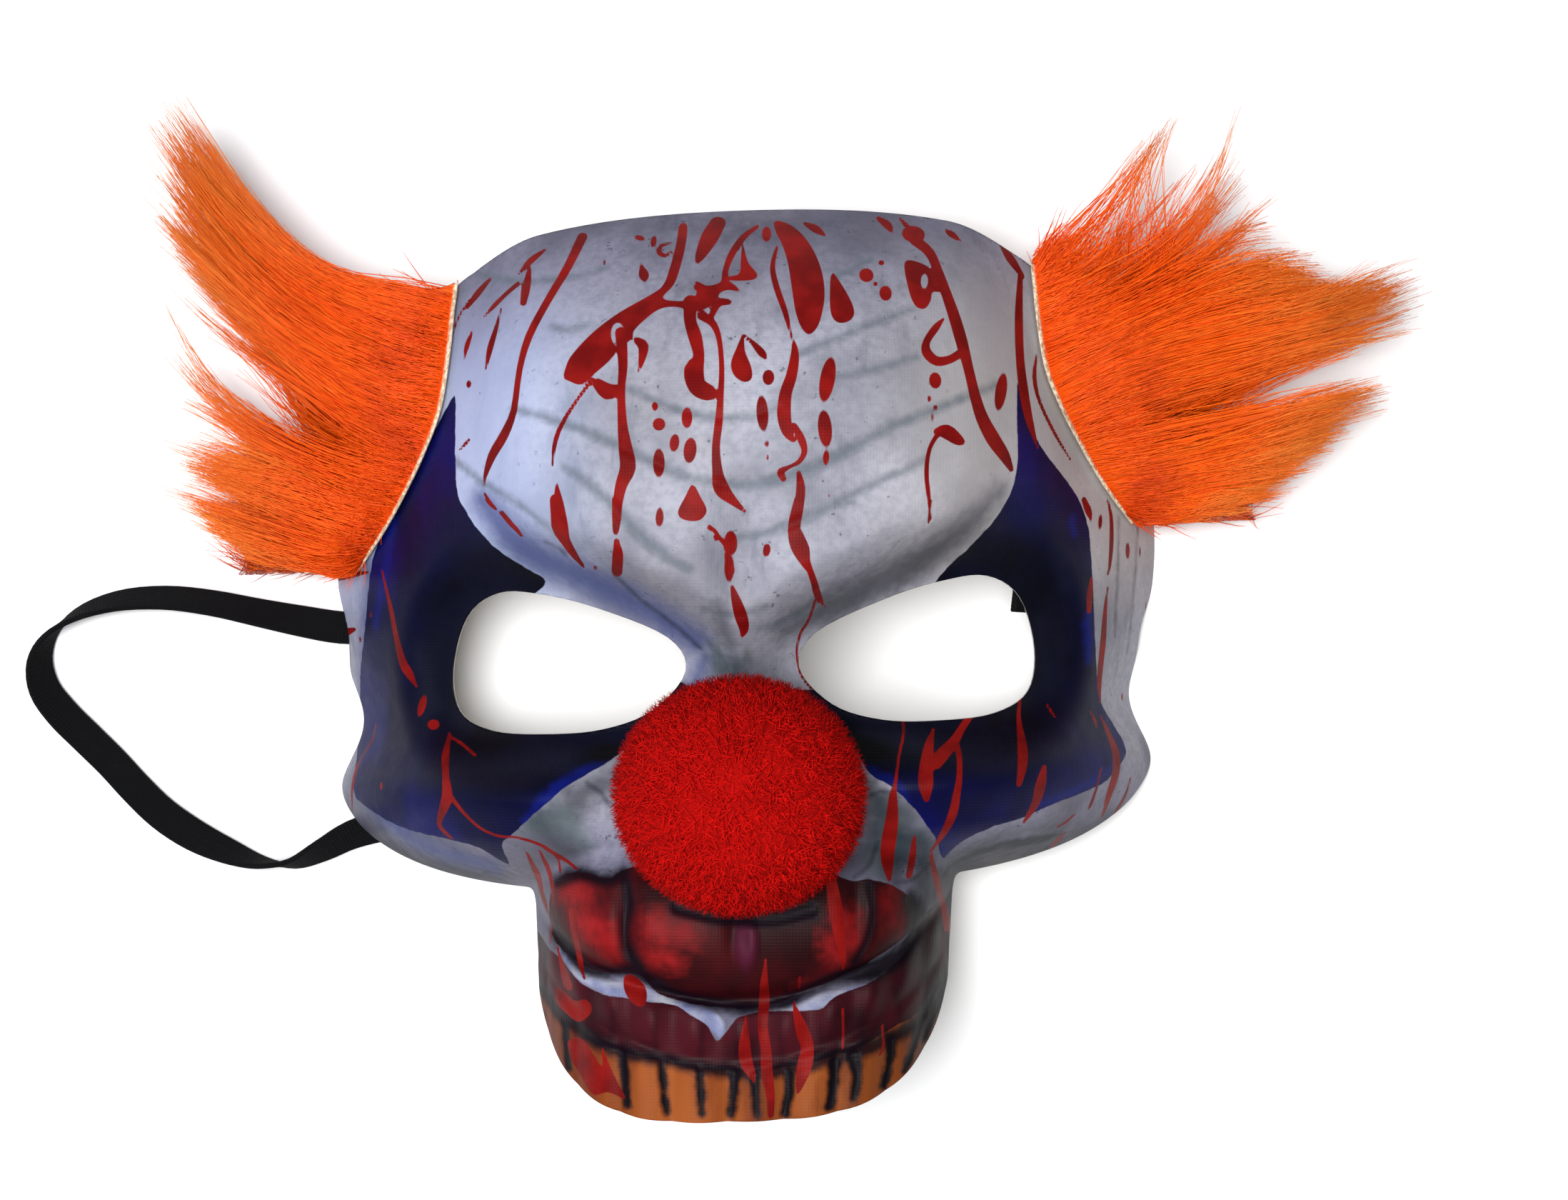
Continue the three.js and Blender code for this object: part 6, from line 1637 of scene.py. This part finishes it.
def fur_material():
    fur = Material("orange_fur", Roughness=0.5)
    fur.shader.inputs["Specular IOR Level"].default_value = 0.2
    tint = fur.value("tint")
    root = fur.mix(tint, shade(234, 74, 6), shade(254, 102, 14))
    middle = fur.mix(tint, shade(244, 80, 3), shade(255, 114, 10))
    tip = fur.mix(tint, shade(255, 116, 24), shade(255, 156, 66))
    along = fur.value("along")
    colour = fur.mix(fur.ramp(along, 0.05, 0.4), root, middle)
    colour = fur.mix(fur.ramp(along, 0.4, 0.95), colour, tip)
    deep = fur.math("MULTIPLY", fur.ramp(fur.noise(45, 3), 0.45, 0.7), fur.ramp(along, 0.7, 0.1))
    colour = fur.mix(fur.math("MULTIPLY", deep, 0.55), colour, shade(196, 44, 2))
    fur.set("Base Color", colour)
    fur.set("Roughness", fur.node("ShaderNodeMapRange", {0: tint, 3: 0.42, 4: 0.6}).outputs[0])
    fur.bump(fur.noise(1600, 2), 0.2, 0.0001)
    return fur.material


def mat_material():
    mat = Material("fur_backing", Roughness=0.85)
    strands = mat.noise(700, 4, 0.6, mat.stretched((0.3, 1, 1)))
    pile = mat.mix(mat.ramp(strands, 0.35, 0.65), shade(234, 80, 6), shade(255, 112, 20))
    weave = mat.mix(mat.ramp(mat.noise(1200, 2), 0.4, 0.6), shade(186, 160, 128), shade(232, 214, 188))
    edge = mat.math("ADD", mat.value("behind"), mat.math("MULTIPLY", mat.noise(500, 3), 0.5))
    mat.set("Base Color", mat.mix(mat.ramp(edge, 0.7, 1.3), weave, pile))
    mat.bump(strands, 0.6, 0.0012)
    return mat.material


orange_fur, fur_backing = fur_material(), mat_material()
for side, flow, word in ((-1, LEFT_FLOW, "left"), (1, RIGHT_FLOW, "right")):
    make_mat(side, word, fur_backing)
    make_underfur(side, flow, word, orange_fur)
    make_tuft(side, flow, word, orange_fur)


# Pompom: a felted core with cut yarn all over it
YARNS = 13500
YARN_LENGTH = 5.5
YARN_RADIUS = 0.24
YARN_SPREAD = 1.0


def ball_directions(count):
    order = np.arange(count) + 0.5
    z = 1 - 2 * order / count
    angle = order * math.pi * (3 - math.sqrt(5))
    ring = np.sqrt(1 - z * z)
    return np.column_stack([ring * np.cos(angle), ring * np.sin(angle), z])


def make_pompom(material):
    radius = POMPOM_WIDTH / 2 + YARN_SPREAD
    flat = np.array([1, POMPOM_HEIGHT / POMPOM_WIDTH, POMPOM_HEIGHT / POMPOM_WIDTH])
    nose = face_height(np.zeros(1), np.array([float(NOSE_UP)]))[0]
    centre = np.array([0, NOSE_UP - 1.6, nose + POMPOM_HEIGHT / 2 - POMPOM_SINK])

    bpy.ops.mesh.primitive_ico_sphere_add(subdivisions=6, radius=1)
    core = bpy.context.object
    core.name = "pompom_core"
    count = len(core.data.vertices)
    way = np.empty(count * 3, np.float32)
    core.data.vertices.foreach_get("co", way)
    way = way.reshape(-1, 3).astype(float)
    lumps = 0.5 + 0.5 * np.sin(9 * way[:, 0] + 2 * way[:, 2]) * np.sin(8 * way[:, 1] + 3 * way[:, 0])
    points = way * (radius - 3.4 + lumps[:, None]) * flat + centre
    points[:, 2] = np.maximum(points[:, 2], parallel_height(points[:, 0], points[:, 1], GAP))
    core.data.vertices.foreach_set("co", to_frame(points).astype(np.float32).ravel())
    core.data.polygons.foreach_set("use_smooth", np.ones(len(core.data.polygons), bool))
    core.data.materials.append(material)

    way = ball_directions(YARNS) + random.normal(0, 0.025, (YARNS, 3))
    curl = random.normal(0, 0.11, way.shape)
    reach = radius - random.uniform(0, 1, YARNS) ** 2 * 1.3
    steps = []
    for share, bent in ((0, 0), (0.55, 0.3), (1, 1)):
        turned = way + bent * curl
        turned /= np.linalg.norm(turned, axis=1, keepdims=True)
        steps.append(turned * (reach - YARN_LENGTH * (1 - share))[:, None] * flat + centre)
    lines = np.stack(steps, 1)
    clear = lines[:, :, 2] > parallel_height(lines[:, :, 0], lines[:, :, 1], GAP + 0.3)
    lines = lines[clear.all(1)]
    tint = random.uniform(0, 1, len(lines))
    share = np.tile([0, 0.55, 1], (len(lines), 1))
    yarn = hair_mesh("pompom_yarn", lines, share, np.full(len(lines), YARN_RADIUS), material, tint=tint)
    for piece in (core, yarn):
        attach(piece, "root")
        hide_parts("nose_pompom")


def pompom_material():
    yarn = Material("red_pompom", Roughness=0.9)
    yarn.shader.inputs["Specular IOR Level"].default_value = 0.08
    deep = yarn.mix(yarn.value("tint"), shade(142, 4, 2), shade(174, 6, 4))
    bright = yarn.mix(yarn.value("tint"), shade(176, 7, 4), shade(198, 14, 9))
    colour = yarn.mix(yarn.ramp(yarn.value("along"), 0.2, 0.95), deep, bright)
    patch = yarn.ramp(yarn.noise(260, 3, 0.6), 0.35, 0.7)
    yarn.set("Base Color", yarn.mix(yarn.math("MULTIPLY", patch, 0.3), colour, shade(140, 4, 3)))
    yarn.bump(yarn.noise(1400, 3), 0.4, 0.0004)
    return yarn.material


make_pompom(pompom_material())


def add_light(name, place, size, power, colour):
    data = bpy.data.lights.new(name, "AREA")
    data.shape = "DISK"
    data.size = size
    data.energy = power
    data.color = colour
    light = bpy.data.objects.new(name, data)
    light.location = place
    light.rotation_euler = (Vector((0, 0, 0.03)) - Vector(place)).to_track_quat("-Z", "Y").to_euler()
    bpy.context.scene.collection.objects.link(light)


add_light("key", (-0.1, 0, 0.85), 0.3, 9.0, (1, 1, 1))
add_light("window", (-0.8, 0.1, 0.35), 0.5, 1.3, (0.62, 0.76, 1))
world = bpy.data.worlds.new("studio")
bpy.context.scene.world = world
world.use_nodes = True
world.node_tree.nodes["Background"].inputs["Color"].default_value = (1, 1, 1, 1)
world.node_tree.nodes["Background"].inputs["Strength"].default_value = 0.26

floor_material = Material("floor", Roughness=0.7)
paper = floor_material.ramp(floor_material.noise(3, 2), 0.3, 0.7)
floor_material.set("Base Color", floor_material.mix(paper, shade(237, 237, 237), shade(239, 239, 239)))
bpy.ops.mesh.primitive_plane_add(size=6, location=(0, 0, 0))
floor = bpy.context.object
floor.name = "floor"
floor.data.materials.append(floor_material.material)



def steel_material():
    steel = Material("staple_wire", Metallic=1.0, Roughness=0.3)
    wear = steel.ramp(steel.noise(900, 3), 0.35, 0.7)
    steel.set("Base Color", steel.mix(wear, shade(150, 150, 156), shade(206, 206, 212)))
    steel.set("Roughness", steel.node("ShaderNodeMapRange", {0: wear, 3: 0.22, 4: 0.42}).outputs[0])
    steel.bump(steel.noise(2600, 2), 0.15, 0.00005)
    return steel.material


for staple in ("left_staple", "right_staple"):
    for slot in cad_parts[staple].material_slots:
        slot.material = steel_material()
